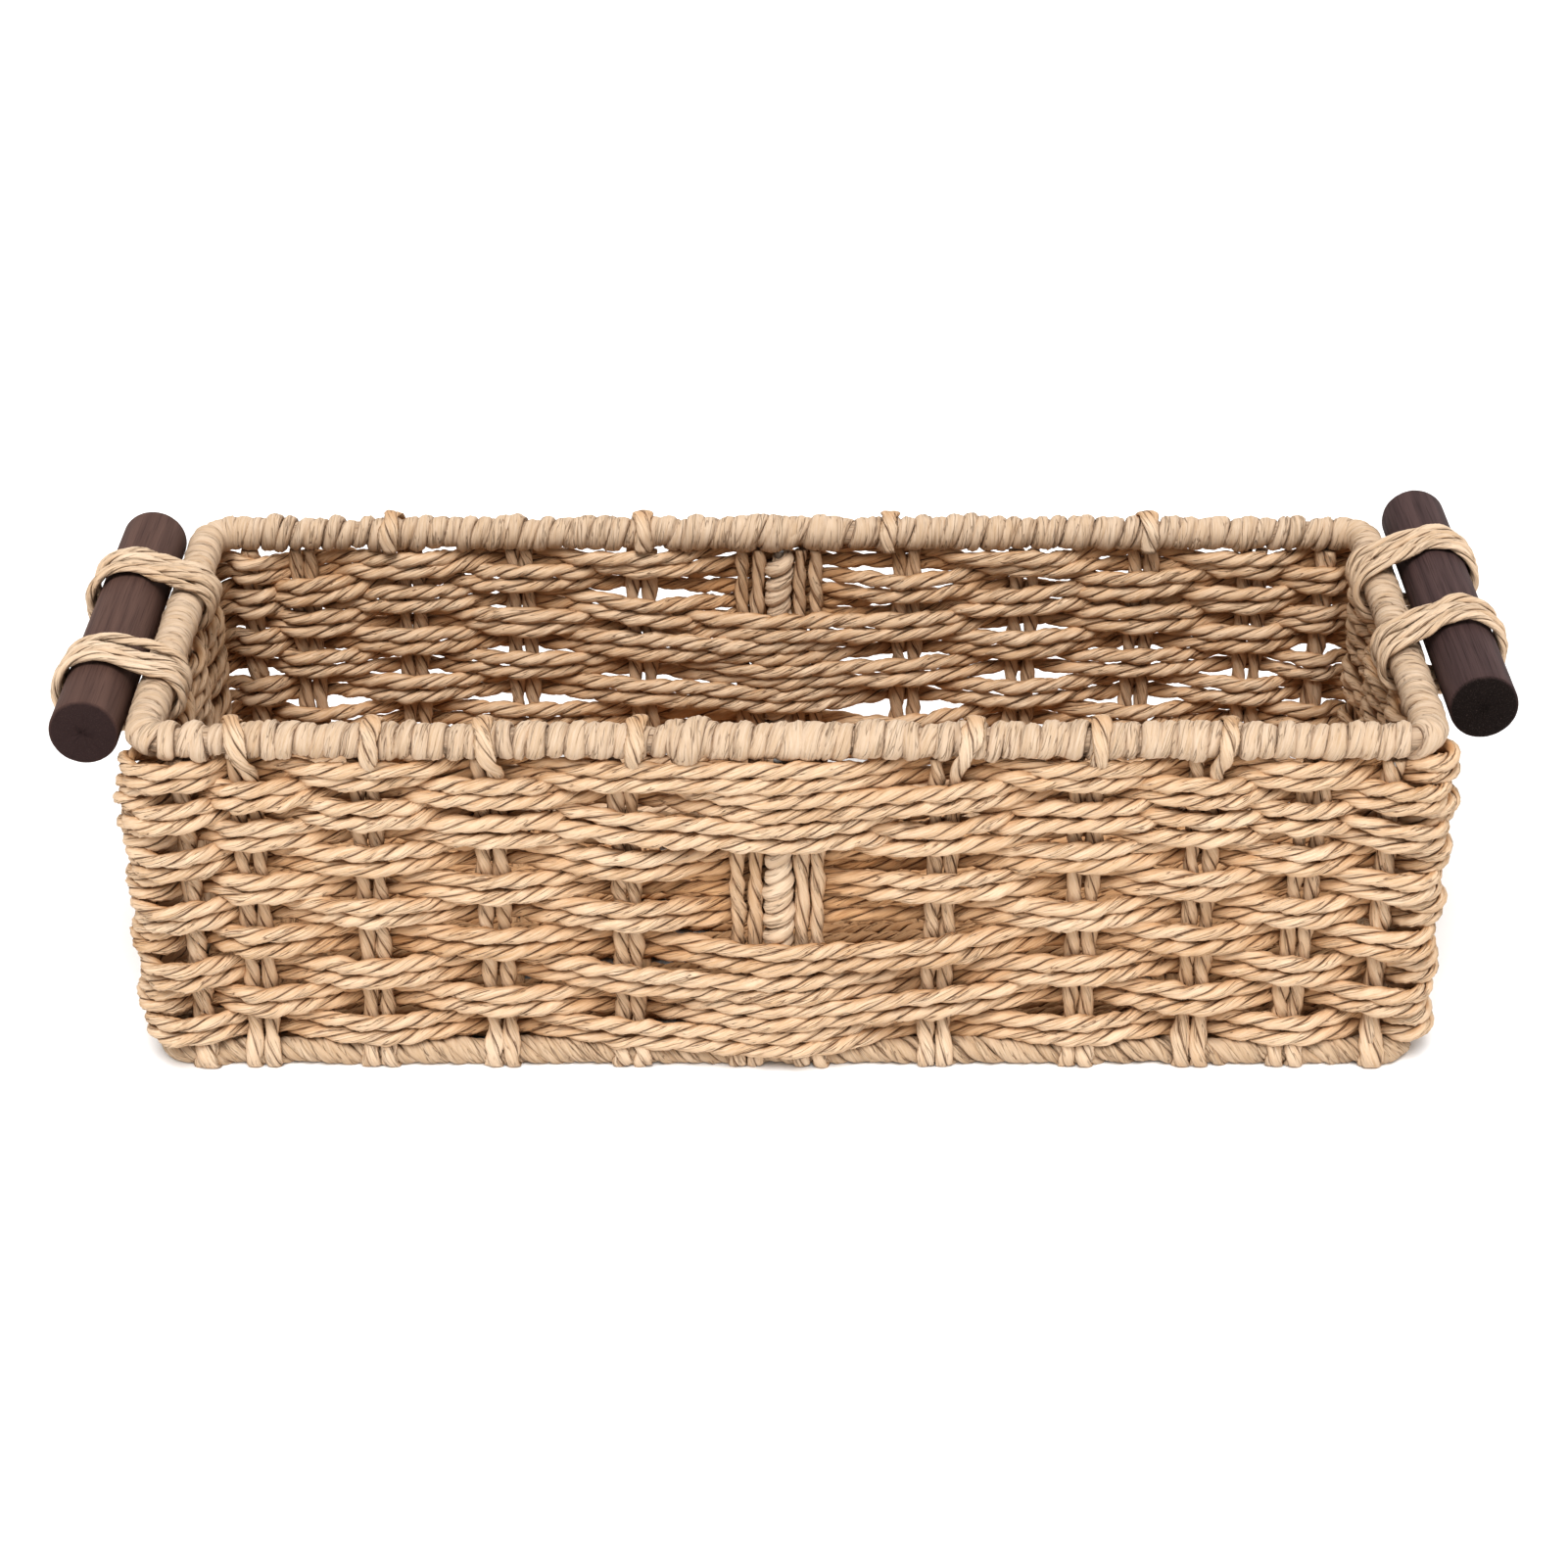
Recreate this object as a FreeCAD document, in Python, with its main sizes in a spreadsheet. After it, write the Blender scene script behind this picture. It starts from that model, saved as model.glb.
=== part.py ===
import FreeCAD, Part
import math
import os

import Sketcher

# A rectangular hand-woven storage basket of twisted paper rope on a wire frame, with two round
# wooden handles lashed alongside the short ends of its rim.  Units are millimetres.  X runs along
# the length, Y from front to rear and Z up.  The origin is on the surface that the basket stands
# on, under the middle of the whole object, handles included.

Vector = FreeCAD.Vector
Rotation = FreeCAD.Rotation
os.makedirs("parts", exist_ok=True)
doc = FreeCAD.newDocument("bread_basket")

# ------------------------------------------------------------------ driving dimensions
DIMENSIONS = (
    ("rim_length", 380.0, "outside length over the wrapped rim"),
    ("rim_width", 152.0, "outside width over the wrapped rim"),
    ("basket_height", 114.0, "standing surface to top of rim"),
    ("rim_wrap_diameter", 11.7, "wrapped rim"),
    ("rim_wire_diameter", 4.0, "wire ring inside the rim"),
    ("base_wrap_diameter", 8.0, "wrapped base ring"),
    ("base_wire_diameter", 3.2, "wire ring inside the base"),
    ("base_flat_depth", 0.3, "wrapping pressed flat where the basket stands"),
    ("frame_corner_radius", 8.0, "centre line of both rings"),
    ("wrap_clearance", 0.1, "between a wire and its wrapping, and at butted ends"),
    ("post_diameter", 3.0, "upright wires"),
    ("centre_wrap_diameter", 6.0, "wrapped centre upright"),
    ("stake_strand_width", 4.6, "flat upright strand"),
    ("stake_strand_thickness", 2.8, "flat upright strand"),
    ("stake_strand_gap", 0.2, "between the two strands of a stake"),
    ("corner_strand_width", 3.3, "flat upright strand beside a corner wire"),
    ("corner_strand_gap", 3.3, "between the strands of a corner stake, for the wire"),
    ("weaver_diameter", 3.6, "one woven rope"),
    ("weaver_pitch", 3.9, "centre to centre of neighbouring ropes"),
    ("weaver_top_height", 94.0, "centre of the highest rope"),
    ("weaver_bend_radius", 8.0, "rope bending round a stake"),
    ("weaver_bend_allowance", 0.2, "a bend passes this far inside its point"),
    ("stake_shoulder", 3.1, "half the flat of a rope over a stake"),
    ("corner_stake_shoulder", 4.0, "half the flat of a rope over a corner stake"),
    ("centre_shoulder", 5.5, "half the flat of a rope over the wrapped upright"),
    ("centre_edge", 13.5, "middle of the wrapped upright to where a rope clears its stakes"),
    ("weaver_corner_radius", 4.5, "rope turning a corner"),
    ("weaver_corner_offset", 3.0, "rope outside the wall's middle plane at a corner"),
    ("weave_clearance", 0.3, "between a rope and what it passes"),
    ("floor_height", 5.0, "middle plane of the woven floor"),
    ("floor_rib_thickness", 2.0, "flat rope across the floor"),
    ("floor_weaver_diameter", 3.4, "rope along the floor"),
    ("floor_weaver_pitch", 7.6, "rope along the floor"),
    ("floor_shoulder", 3.6, "half the flat of a rope over a rib"),
    ("floor_bend_radius", 8.0, "rope bending over a rib"),
    ("dowel_diameter", 20.0, "handle"),
    ("dowel_length", 131.0, "handle"),
    ("dowel_chamfer", 0.8, "handle end"),
    ("dowel_rim_gap", 1.0, "between handle and wrapped rim"),
    ("loop_turn_width", 4.2, "one turn of a lashing"),
    ("loop_turn_pitch", 4.5, "turn to turn"),
    ("loop_thickness", 3.0, "one turn of a lashing"),
    ("loop_clearance", 0.3, "between a lashing and what it holds"),
    ("loop_edge_round", 0.9, "turn edges"),
    ("left_loops_spacing", 59.0, "front lashing to rear lashing"),
    ("right_loops_spacing", 50.0, "front lashing to rear lashing"),
    ("left_loops_shift", -6.0, "middle of the left lashings along Y"),
    ("right_loops_shift", 10.0, "middle of the right lashings along Y"),
    ("left_dowel_shift", -0.5, "middle of the left handle along Y"),
    ("right_dowel_shift", 9.5, "middle of the right handle along Y"),
    ("left_rest_angle", 2.0, "degrees of the left handle above the rim's level"),
    ("right_rest_angle", 12.0, "degrees of the right handle above the rim's level"),
    ("centre_post_position", -2.4, "wrapped upright along X"),
    ("centre_stake_spacing", 9.4, "wrapped upright to the stake on each side"),
)
STAKES = {
    "front_stake": (-155.5, -121.0, -85.0, -46.5, 44.7, 86.0, 120.0, 150.0),
    "rear_stake": (-155.0, -121.0, -85.5, -46.4, 38.8, 76.3, 113.8, 150.0),
    "left_end_stake": (-55.0, -18.0, 8.0, 46.0),
    "right_end_stake": (-55.0, -28.0, 10.0, 50.0),
    "front_corner_stake": (-173.0, 173.6),
    "rear_corner_stake": (-172.3, 172.3),
}
LONG_WALL_STAKES = len(STAKES["front_stake"])
ROWS = 11
STRANDS_PER_ROW = 2
LOOP_TURNS = 3
FLOOR_WEAVERS = 15
WINDOW_ROWS = range(4, 8)  # rows that pass behind the centre upright, counted from the top

sheet = doc.addObject("Spreadsheet::Sheet", "Dimensions")


def fill_sheet():
    """One row per dimension: name, value with alias, and what it is."""
    rows = list(DIMENSIONS)
    for name, places in STAKES.items():
        for number, place in enumerate(places, 1):
            rows.append((f"{name}_{number}_place", place, "stake's place along its wall"))
    for line, (alias, value, note) in enumerate(rows, 1):
        sheet.set(f"A{line}", alias)
        sheet.set(f"B{line}", str(value))
        sheet.set(f"C{line}", note)
        sheet.setAlias(f"B{line}", alias)


fill_sheet()
doc.recompute()


def dim(alias):
    """The value of one cell."""
    return float(sheet.get(alias))


def cell(alias):
    """The name of one cell inside an expression."""
    return f"Dimensions.{alias}"


# Expressions that several pieces share.
WALL_X = "(Dimensions.rim_length - Dimensions.rim_wrap_diameter) / 2"
WALL_Y = "(Dimensions.rim_width - Dimensions.rim_wrap_diameter) / 2"
RIM_Z = "Dimensions.basket_height - Dimensions.rim_wrap_diameter / 2"
BASE_Z = "(Dimensions.base_wrap_diameter / 2 - Dimensions.base_flat_depth)"
UPRIGHT_Z = f"({BASE_Z} + Dimensions.base_wrap_diameter / 2 + Dimensions.wrap_clearance)"
UPRIGHT_LENGTH = (
    "Dimensions.basket_height - Dimensions.rim_wrap_diameter"
    f" - {UPRIGHT_Z} - Dimensions.wrap_clearance"
)
DOWEL_REACH = (
    "(Dimensions.rim_wrap_diameter / 2 + Dimensions.dowel_rim_gap"
    " + Dimensions.dowel_diameter / 2)"
)

wall_x = (dim("rim_length") - dim("rim_wrap_diameter")) / 2
wall_y = (dim("rim_width") - dim("rim_wrap_diameter")) / 2
subparts = []


# ------------------------------------------------------------------ sketch helpers
def new_body(label):
    """A PartDesign body that becomes the node with this name."""
    body = doc.addObject("PartDesign::Body", label)
    body.Label = label
    body.AllowCompound = True
    subparts.append(body)
    return body


def new_sketch(body, role, name):
    """A sketch on one of the body's own origin planes."""
    sketch = body.newObject("Sketcher::SketchObject", f"{body.Name}_{name}")
    plane = next(f for f in body.Origin.OriginFeatures if f.Role == role)
    sketch.AttachmentSupport = [(plane, "")]
    sketch.MapMode = "FlatFace"
    return sketch


def bind(sketch, constraint, expression):
    """Adds a dimensional constraint and ties it to the sheet."""
    index = sketch.addConstraint(constraint)
    sketch.setExpression(f"Constraints[{index}]", expression)


def place(body, x="0", y="0", z="0"):
    """Ties the body's position to the sheet."""
    for axis, expression in (("x", x), ("y", y), ("z", z)):
        body.setExpression(f".Placement.Base.{axis}", expression)


def turn(body, axis, angle):
    """Turns the body about one axis by an angle in degrees, tied to the sheet."""
    body.Placement = FreeCAD.Placement(Vector(), Rotation(axis, 1.0))
    body.setExpression(".Placement.Rotation.Angle", angle)


def close_with_tangents(sketch, pieces):
    """Joins each piece's end to the next one's start, tangentially."""
    for piece, following in zip(pieces, pieces[1:] + pieces[:1]):
        sketch.addConstraint(Sketcher.Constraint("Tangent", piece, 2, following, 1))


def arc(centre, radius, start, end):
    """An arc of a circle in the sketch plane, angles in radians."""
    circle = Part.Circle(Vector(*centre, 0), Vector(0, 0, 1), radius)
    return Part.ArcOfCircle(circle, start, end)


def segment(start, end):
    return Part.LineSegment(Vector(*start, 0), Vector(*end, 0))


def sketch_ring_path(body):
    """The centre line of a wire ring: a rectangle with round corners."""
    sketch = new_sketch(body, "XY_Plane", "path")
    radius = dim("frame_corner_radius")
    in_x = wall_x - radius
    in_y = wall_y - radius
    quarter = math.pi / 2
    sketch.addGeometry(segment((-in_x, -wall_y), (in_x, -wall_y)), False)
    sketch.addGeometry(arc((in_x, -in_y), radius, -quarter, 0.0), False)
    sketch.addGeometry(segment((wall_x, -in_y), (wall_x, in_y)), False)
    sketch.addGeometry(arc((in_x, in_y), radius, 0.0, quarter), False)
    sketch.addGeometry(segment((in_x, wall_y), (-in_x, wall_y)), False)
    sketch.addGeometry(arc((-in_x, in_y), radius, quarter, 2 * quarter), False)
    sketch.addGeometry(segment((-wall_x, in_y), (-wall_x, -in_y)), False)
    sketch.addGeometry(arc((-in_x, -in_y), radius, 2 * quarter, 3 * quarter), False)
    close_with_tangents(sketch, list(range(8)))
    for line in (0, 4):
        sketch.addConstraint(Sketcher.Constraint("Horizontal", line))
    for line in (2, 6):
        sketch.addConstraint(Sketcher.Constraint("Vertical", line))
    for corner in (3, 5, 7):
        sketch.addConstraint(Sketcher.Constraint("Equal", 1, corner))
    sketch.addConstraint(Sketcher.Constraint("Symmetric", 0, 1, 4, 1, -1, 1))
    bind(sketch, Sketcher.Constraint("Radius", 1, radius), cell("frame_corner_radius"))
    bind(sketch, Sketcher.Constraint("DistanceX", 6, 1, 2, 1, 2 * wall_x), f"2 * {WALL_X}")
    bind(sketch, Sketcher.Constraint("DistanceY", 0, 1, 4, 1, 2 * wall_y), f"2 * {WALL_Y}")
    return sketch


def sketch_circles(body, role, name, x, x_expression, diameters):
    """Concentric circles centred on the sketch's horizontal axis."""
    sketch = new_sketch(body, role, name)
    for number, (value, expression) in enumerate(diameters):
        circle = Part.Circle(Vector(x, 0, 0), Vector(0, 0, 1), value / 2)
        sketch.addGeometry(circle, False)
        bind(sketch, Sketcher.Constraint("Diameter", number, value), expression)
        if number:
            sketch.addConstraint(Sketcher.Constraint("Coincident", 0, 3, number, 3))
    if x:
        sketch.addConstraint(Sketcher.Constraint("PointOnObject", 0, 3, -1))
        bind(sketch, Sketcher.Constraint("DistanceX", -1, 1, 0, 3, x), x_expression)
    else:
        sketch.addConstraint(Sketcher.Constraint("Coincident", 0, 3, -1, 1))
    return sketch


def add_slot(sketch, middle, middle_expression, size, expressions):
    """A slot with round ends, its long axis on the sketch's horizontal axis."""
    width, thickness = size
    radius = thickness / 2
    half = width / 2 - radius
    quarter = math.pi / 2
    first = sketch.GeometryCount
    left, right = middle - half, middle + half
    sketch.addGeometry(segment((left, -radius), (right, -radius)), False)
    sketch.addGeometry(arc((right, 0.0), radius, -quarter, quarter), False)
    sketch.addGeometry(segment((right, radius), (left, radius)), False)
    sketch.addGeometry(arc((left, 0.0), radius, quarter, 3 * quarter), False)
    close_with_tangents(sketch, [first, first + 1, first + 2, first + 3])
    sketch.addConstraint(Sketcher.Constraint("Horizontal", first))
    sketch.addConstraint(Sketcher.Constraint("Equal", first + 1, first + 3))
    sketch.addConstraint(Sketcher.Constraint("PointOnObject", first + 1, 3, -1))
    width_expression, thickness_expression = expressions
    bind(
        sketch,
        Sketcher.Constraint("Radius", first + 1, radius),
        f"{thickness_expression} / 2",
    )
    bind(
        sketch,
        Sketcher.Constraint("DistanceX", first + 3, 3, first + 1, 3, 2 * half),
        f"{width_expression} - {thickness_expression}",
    )
    bind(
        sketch,
        Sketcher.Constraint("DistanceX", -1, 1, first + 1, 3, right),
        f"{middle_expression} + ({width_expression} - {thickness_expression}) / 2",
    )


def pad(body, sketch, length, midplane=False):
    """Pads a sketch by a length tied to the sheet."""
    feature = body.newObject("PartDesign::Pad", f"{body.Name}_pad")
    feature.Profile = sketch
    feature.Midplane = midplane
    feature.setExpression("Length", length)
    sketch.Visibility = False
    return feature


# ------------------------------------------------------------------ frame
def make_ring(label, height, diameter, bore=None):
    """A closed wire ring, or the wrapping round one, swept round the basket."""
    body = new_body(label)
    path = sketch_ring_path(body)
    sweeps = [("PartDesign::AdditivePipe", "outside", diameter)]
    if bore is not None:
        sweeps.append(("PartDesign::SubtractivePipe", "bore", bore))
    for kind, name, size in sweeps:
        profile = sketch_circles(body, "XZ_Plane", f"{name}_profile", wall_x, WALL_X, (size,))
        pipe = body.newObject(kind, f"{label}_{name}")
        pipe.Profile = profile
        pipe.Spine = (path, [])
        doc.recompute()
    place(body, z=height)
    return body


def press_flat(body):
    """Takes the round underside of the base wrapping down to a narrow flat."""
    level = "-(Dimensions.base_wrap_diameter / 2 - Dimensions.base_flat_depth)"
    reach = dim("rim_length") + dim("rim_width")
    whole = cell("rim_length") + " + " + cell("rim_width")
    sketch = sketch_circles(body, "XY_Plane", "flat", 0.0, "0", ((reach, whole),))
    sketch.setExpression(".AttachmentOffset.Base.z", level)
    pocket = body.newObject("PartDesign::Pocket", f"{body.Name}_flat_cut")
    pocket.Profile = sketch
    pocket.setExpression("Length", cell("base_wrap_diameter"))


def make_upright(label, x, y, diameters):
    """A vertical wire, or the wrapping round it, between the two rings."""
    body = new_body(label)
    profile = sketch_circles(body, "XY_Plane", "profile", 0.0, "0", diameters)
    pad(body, profile, UPRIGHT_LENGTH)
    place(body, x, y, UPRIGHT_Z)


def diameter_of(alias):
    return (dim(alias), cell(alias))


def bore_for(alias):
    """The bore of a wrapping that goes round the named wire."""
    value = dim(alias) + 2 * dim("wrap_clearance")
    return (value, f"{cell(alias)} + 2 * {cell('wrap_clearance')}")


make_ring("top_rim_wire", RIM_Z, diameter_of("rim_wire_diameter"))
make_ring("base_rim_wire", BASE_Z, diameter_of("base_wire_diameter"))
rim_bore = bore_for("rim_wire_diameter")
base_bore = bore_for("base_wire_diameter")
make_ring("rim_binding", RIM_Z, diameter_of("rim_wrap_diameter"), rim_bore)
press_flat(make_ring("base_binding", BASE_Z, diameter_of("base_wrap_diameter"), base_bore))


def make_corner_posts():
    """Four identical bare wires, one in the middle of each corner stake."""
    body = new_body("corner_posts")
    sketch = new_sketch(body, "XY_Plane", "wires")
    number = 0
    for end, sign_y in (("front", -1), ("rear", 1)):
        for side in (1, 2):
            alias = f"{end}_corner_stake_{side}_place"
            middle = Vector(dim(alias), sign_y * wall_y, 0)
            circle = Part.Circle(middle, Vector(0, 0, 1), dim("post_diameter") / 2)
            sketch.addGeometry(circle, False)
            width = Sketcher.Constraint("Diameter", number, dim("post_diameter"))
            bind(sketch, width, cell("post_diameter"))
            across = Sketcher.Constraint("DistanceX", -1, 1, number, 3, middle.x)
            bind(sketch, across, cell(alias))
            along = Sketcher.Constraint("DistanceY", -1, 1, number, 3, middle.y)
            bind(sketch, along, f"{sign_y} * {WALL_Y}")
            number += 1
    pad(body, sketch, UPRIGHT_LENGTH)
    place(body, z=UPRIGHT_Z)


make_corner_posts()
for end, sign_y in (("front", "-"), ("rear", "")):
    centre = (cell("centre_post_position"), f"{sign_y}({WALL_Y})")
    make_upright(f"{end}_centre_post", *centre, (diameter_of("post_diameter"),))
    make_upright(
        f"{end}_centre_post_binding",
        *centre,
        (diameter_of("centre_wrap_diameter"), bore_for("post_diameter")),
    )


# ------------------------------------------------------------------ stakes
def strand_shift(kind):
    """From the middle of a stake to the middle of one of its strands."""
    return (dim(f"{kind}_strand_width") + dim(f"{kind}_strand_gap")) / 2


def shift_cell(kind):
    return f"({cell(kind + '_strand_width')} + {cell(kind + '_strand_gap')}) / 2"


def make_stake(label, x, y, angle="0", kind="stake"):
    """A pair of flat upright strands side by side, butted between the two rings."""
    body = new_body(label)
    sketch = new_sketch(body, "XY_Plane", "strands")
    size = (dim(f"{kind}_strand_width"), dim("stake_strand_thickness"))
    cells = (cell(f"{kind}_strand_width"), cell("stake_strand_thickness"))
    add_slot(sketch, -strand_shift(kind), f"-{shift_cell(kind)}", size, cells)
    add_slot(sketch, strand_shift(kind), shift_cell(kind), size, cells)
    pad(body, sketch, UPRIGHT_LENGTH)
    turn(body, Vector(0, 0, 1), angle)
    place(body, x, y, UPRIGHT_Z)


for end, sign_y in (("front", "-"), ("rear", "")):
    wall_cell = f"{sign_y}({WALL_Y})"
    for number in range(1, LONG_WALL_STAKES + 1):
        along = cell(f"{end}_stake_{number}_place")
        make_stake(f"{end}_stake_{number}", along, wall_cell)
    for side, sign in (("left", "-"), ("right", "+")):
        along = f"{cell('centre_post_position')} {sign} {cell('centre_stake_spacing')}"
        make_stake(f"{end}_centre_stake_{side}", along, wall_cell)
    for number, side in ((1, "left"), (2, "right")):
        along = cell(f"{end}_corner_stake_{number}_place")
        make_stake(f"{end}_{side}_corner_stake", along, wall_cell, kind="corner")

for side, sign_x in (("left", "-"), ("right", "")):
    for number in range(1, len(STAKES[f"{side}_end_stake"]) + 1):
        along = cell(f"{side}_end_stake_{number}_place")
        make_stake(f"{side}_end_stake_{number}", f"{sign_x}({WALL_X})", along, "90")


# ------------------------------------------------------------------ woven ropes
STRAIGHT_ENOUGH = 1e-3  # radians


def turning_at(points, index):
    """The angle through which the route turns at a point."""
    back = points[index - 1] - points[index]
    ahead = points[(index + 1) % len(points)] - points[index]
    return math.pi - back.getAngle(ahead)


def without_straight_points(points, radii, closed):
    """Leaves out the points at which the route doesn't turn."""
    kept = []
    for index in range(len(points)):
        is_end = not closed and index in (0, len(points) - 1)
        if is_end or turning_at(points, index) > STRAIGHT_ENOUGH:
            kept.append(index)
    return [points[index] for index in kept], [radii[index] for index in kept]


def bent_wire(points, radii, closed):
    """Straight runs between the points, joined by tangent arcs of the given radii."""
    points, radii = without_straight_points(points, radii, closed)
    count = len(points)
    bends = []
    for index, corner in enumerate(points):
        if not closed and index in (0, count - 1):
            bends.append((corner, None, corner))
            continue
        half_turn = turning_at(points, index) / 2
        back = (points[index - 1] - corner).normalize()
        ahead = (points[(index + 1) % count] - corner).normalize()
        reach = radii[index] * math.tan(half_turn)
        rise = radii[index] / math.cos(half_turn) - radii[index]
        toward = (back + ahead).normalize()
        bends.append(
            (corner + back * reach, corner + toward * rise, corner + ahead * reach)
        )
    edges = []
    for index, (enter, middle, leave) in enumerate(bends):
        if middle is not None:
            edges.append(Part.Arc(enter, middle, leave).toShape())
        if closed or index < count - 1:
            following = bends[(index + 1) % count][0]
            edges.append(Part.LineSegment(leave, following).toShape())
    return Part.Wire(edges)


def rope(wire, start, direction, diameter):
    """A round rope along the wire, its section square to the wire at its start."""
    circle = Part.Circle(start, direction, diameter / 2)
    section = Part.Wire([circle.toShape()])
    shape = wire.makePipeShell([section], True, False)
    return Part.Solid(shape) if shape.ShapeType == "Shell" else shape


rope_radius = dim("weaver_diameter") / 2 + dim("weave_clearance")
stake_offset = dim("stake_strand_thickness") / 2 + rope_radius + dim("weaver_bend_allowance")
centre_offset = dim("centre_wrap_diameter") / 2 + rope_radius


def wall_stakes(name):
    """The stakes of one wall as (place, half of the flat over it), in the order of X or Y."""
    count = len(STAKES[f"{name}_stake"])
    places = [dim(f"{name}_stake_{number}_place") for number in range(1, count + 1)]
    listed = [(place_along, dim("stake_shoulder")) for place_along in places]
    if name in ("front", "rear"):
        first, last = (dim(f"{name}_corner_stake_{number}_place") for number in (1, 2))
        shoulder = dim("corner_stake_shoulder")
        listed = [(first, shoulder), *listed, (last, shoulder)]
    return listed


def centre_points(row):
    """Where a row stands as it passes the wrapped upright and the stakes beside it."""
    sign = -1.0 if row in WINDOW_ROWS else 1.0
    post = dim("centre_post_position")
    shoulder = dim("centre_shoulder")
    edge = dim("centre_edge")
    return [
        (post - edge, sign * stake_offset),
        (post - shoulder, sign * centre_offset),
        (post + shoulder, sign * centre_offset),
        (post + edge, sign * stake_offset),
    ]


def wall_points(name, row, first_outside):
    """Places and offsets of a row along a wall: it passes neighbouring stakes in turn."""
    listed = []
    outside = first_outside
    for place_along, shoulder in wall_stakes(name):
        offset = stake_offset if outside else -stake_offset
        listed.append((place_along - shoulder, offset))
        listed.append((place_along + shoulder, offset))
        outside = not outside
    if name in ("front", "rear"):
        listed.extend(centre_points(row))
    return sorted(listed)


def row_outline(row):
    """The points of a row all round the basket, seen from above, and their bends."""
    points, radii = [], []
    corner = dim("weaver_corner_offset")
    bend = dim("weaver_bend_radius")
    odd = row % 2 == 1

    def add(x, y, radius=bend):
        points.append(Vector(x, y, 0))
        radii.append(radius)

    def add_corner(sign_x, sign_y):
        x = sign_x * (wall_x + corner)
        y = sign_y * (wall_y + corner)
        add(x, y, dim("weaver_corner_radius"))

    for along, offset in wall_points("front", row, odd):
        add(along, -wall_y - offset)
    add_corner(1, -1)
    for along, offset in wall_points("right_end", row, odd):
        add(wall_x + offset, along)
    add_corner(1, 1)
    for along, offset in reversed(wall_points("rear", row, not odd)):
        add(along, wall_y + offset)
    add_corner(-1, 1)
    for along, offset in reversed(wall_points("left_end", row, not odd)):
        add(-wall_x - offset, along)
    add_corner(-1, -1)
    return points, radii


def make_feature(label, solids):
    """Several separate ropes kept together as one named piece."""
    feature = doc.addObject("Part::Feature", label)
    feature.Label = label
    feature.Shape = Part.Compound(solids)
    subparts.append(feature)


def make_weaver_row(row):
    """A row: two ropes, one above the other, on the same path in and out of the stakes."""
    points, radii = row_outline(row)
    path = bent_wire(points, radii, True)
    first = path.Edges[-1]
    start = (first.Vertexes[0].Point + first.Vertexes[1].Point) * 0.5
    solids = []
    direction = first.Vertexes[1].Point - first.Vertexes[0].Point
    for strand in range(STRANDS_PER_ROW):
        steps = (row - 1) * STRANDS_PER_ROW + strand
        height = dim("weaver_top_height") - steps * dim("weaver_pitch")
        solid = rope(path, start, direction, dim("weaver_diameter"))
        solid.translate(Vector(0, 0, height))
        solids.append(solid)
    make_feature(f"weaver_row_{row:02d}", solids)


for row in range(1, ROWS + 1):
    make_weaver_row(row)


# ------------------------------------------------------------------ floor
RIB_CELLS = (cell("stake_strand_width"), cell("floor_rib_thickness"))
RIB_SIZE = (dim("stake_strand_width"), dim("floor_rib_thickness"))
RING_INSIDE = "(Dimensions.base_wrap_diameter / 2 + Dimensions.wrap_clearance)"


def rib_place(number):
    """Half-way between a front stake and its partner in the rear wall."""
    return (dim(f"front_stake_{number}_place") + dim(f"rear_stake_{number}_place")) / 2


def rib_cell(number):
    front = cell(f"front_stake_{number}_place")
    rear = cell(f"rear_stake_{number}_place")
    return f"({front} + {rear}) / 2"


def make_floor_ribs():
    """Pairs of flat strands across the floor, under and over which the floor is woven."""
    body = new_body("floor_ribs")
    sketch = new_sketch(body, "XZ_Plane", "strands")
    for number in range(1, LONG_WALL_STAKES + 1):
        for sign, side in ((-1, "-"), (1, "+")):
            along = rib_place(number) + sign * strand_shift("stake")
            along_cell = f"{rib_cell(number)} {side} {shift_cell('stake')}"
            add_slot(sketch, along, along_cell, RIB_SIZE, RIB_CELLS)
    pad(body, sketch, f"2 * ({WALL_Y} - {RING_INSIDE})", True)
    place(body, z=cell("floor_height"))


def floor_line_points(line):
    """One rope along the floor, seen from the front: over and under the ribs in turn."""
    level = dim("floor_height")
    shoulder = dim("floor_shoulder")
    reach = wall_x - dim("base_wrap_diameter") / 2 - dim("weave_clearance")
    rise = (
        dim("floor_rib_thickness") / 2
        + dim("weave_clearance")
        + dim("floor_weaver_diameter") / 2
    )
    across = (line - (FLOOR_WEAVERS - 1) / 2) * dim("floor_weaver_pitch")
    points = [Vector(-reach, across, level)]
    for number in range(1, LONG_WALL_STAKES + 1):
        height = level + rise if (number + line) % 2 else level - rise
        points.append(Vector(rib_place(number) - shoulder, across, height))
        points.append(Vector(rib_place(number) + shoulder, across, height))
    points.append(Vector(reach, across, level))
    return points


def make_floor_weavers():
    """Ropes along the floor, side by side from the front wall to the rear one."""
    solids = []
    for line in range(FLOOR_WEAVERS):
        points = floor_line_points(line)
        path = bent_wire(points, [dim("floor_bend_radius")] * len(points), False)
        direction = points[1] - points[0]
        solids.append(rope(path, points[0], direction, dim("floor_weaver_diameter")))
    make_feature("floor_weavers", solids)


make_floor_ribs()
make_floor_weavers()


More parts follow.
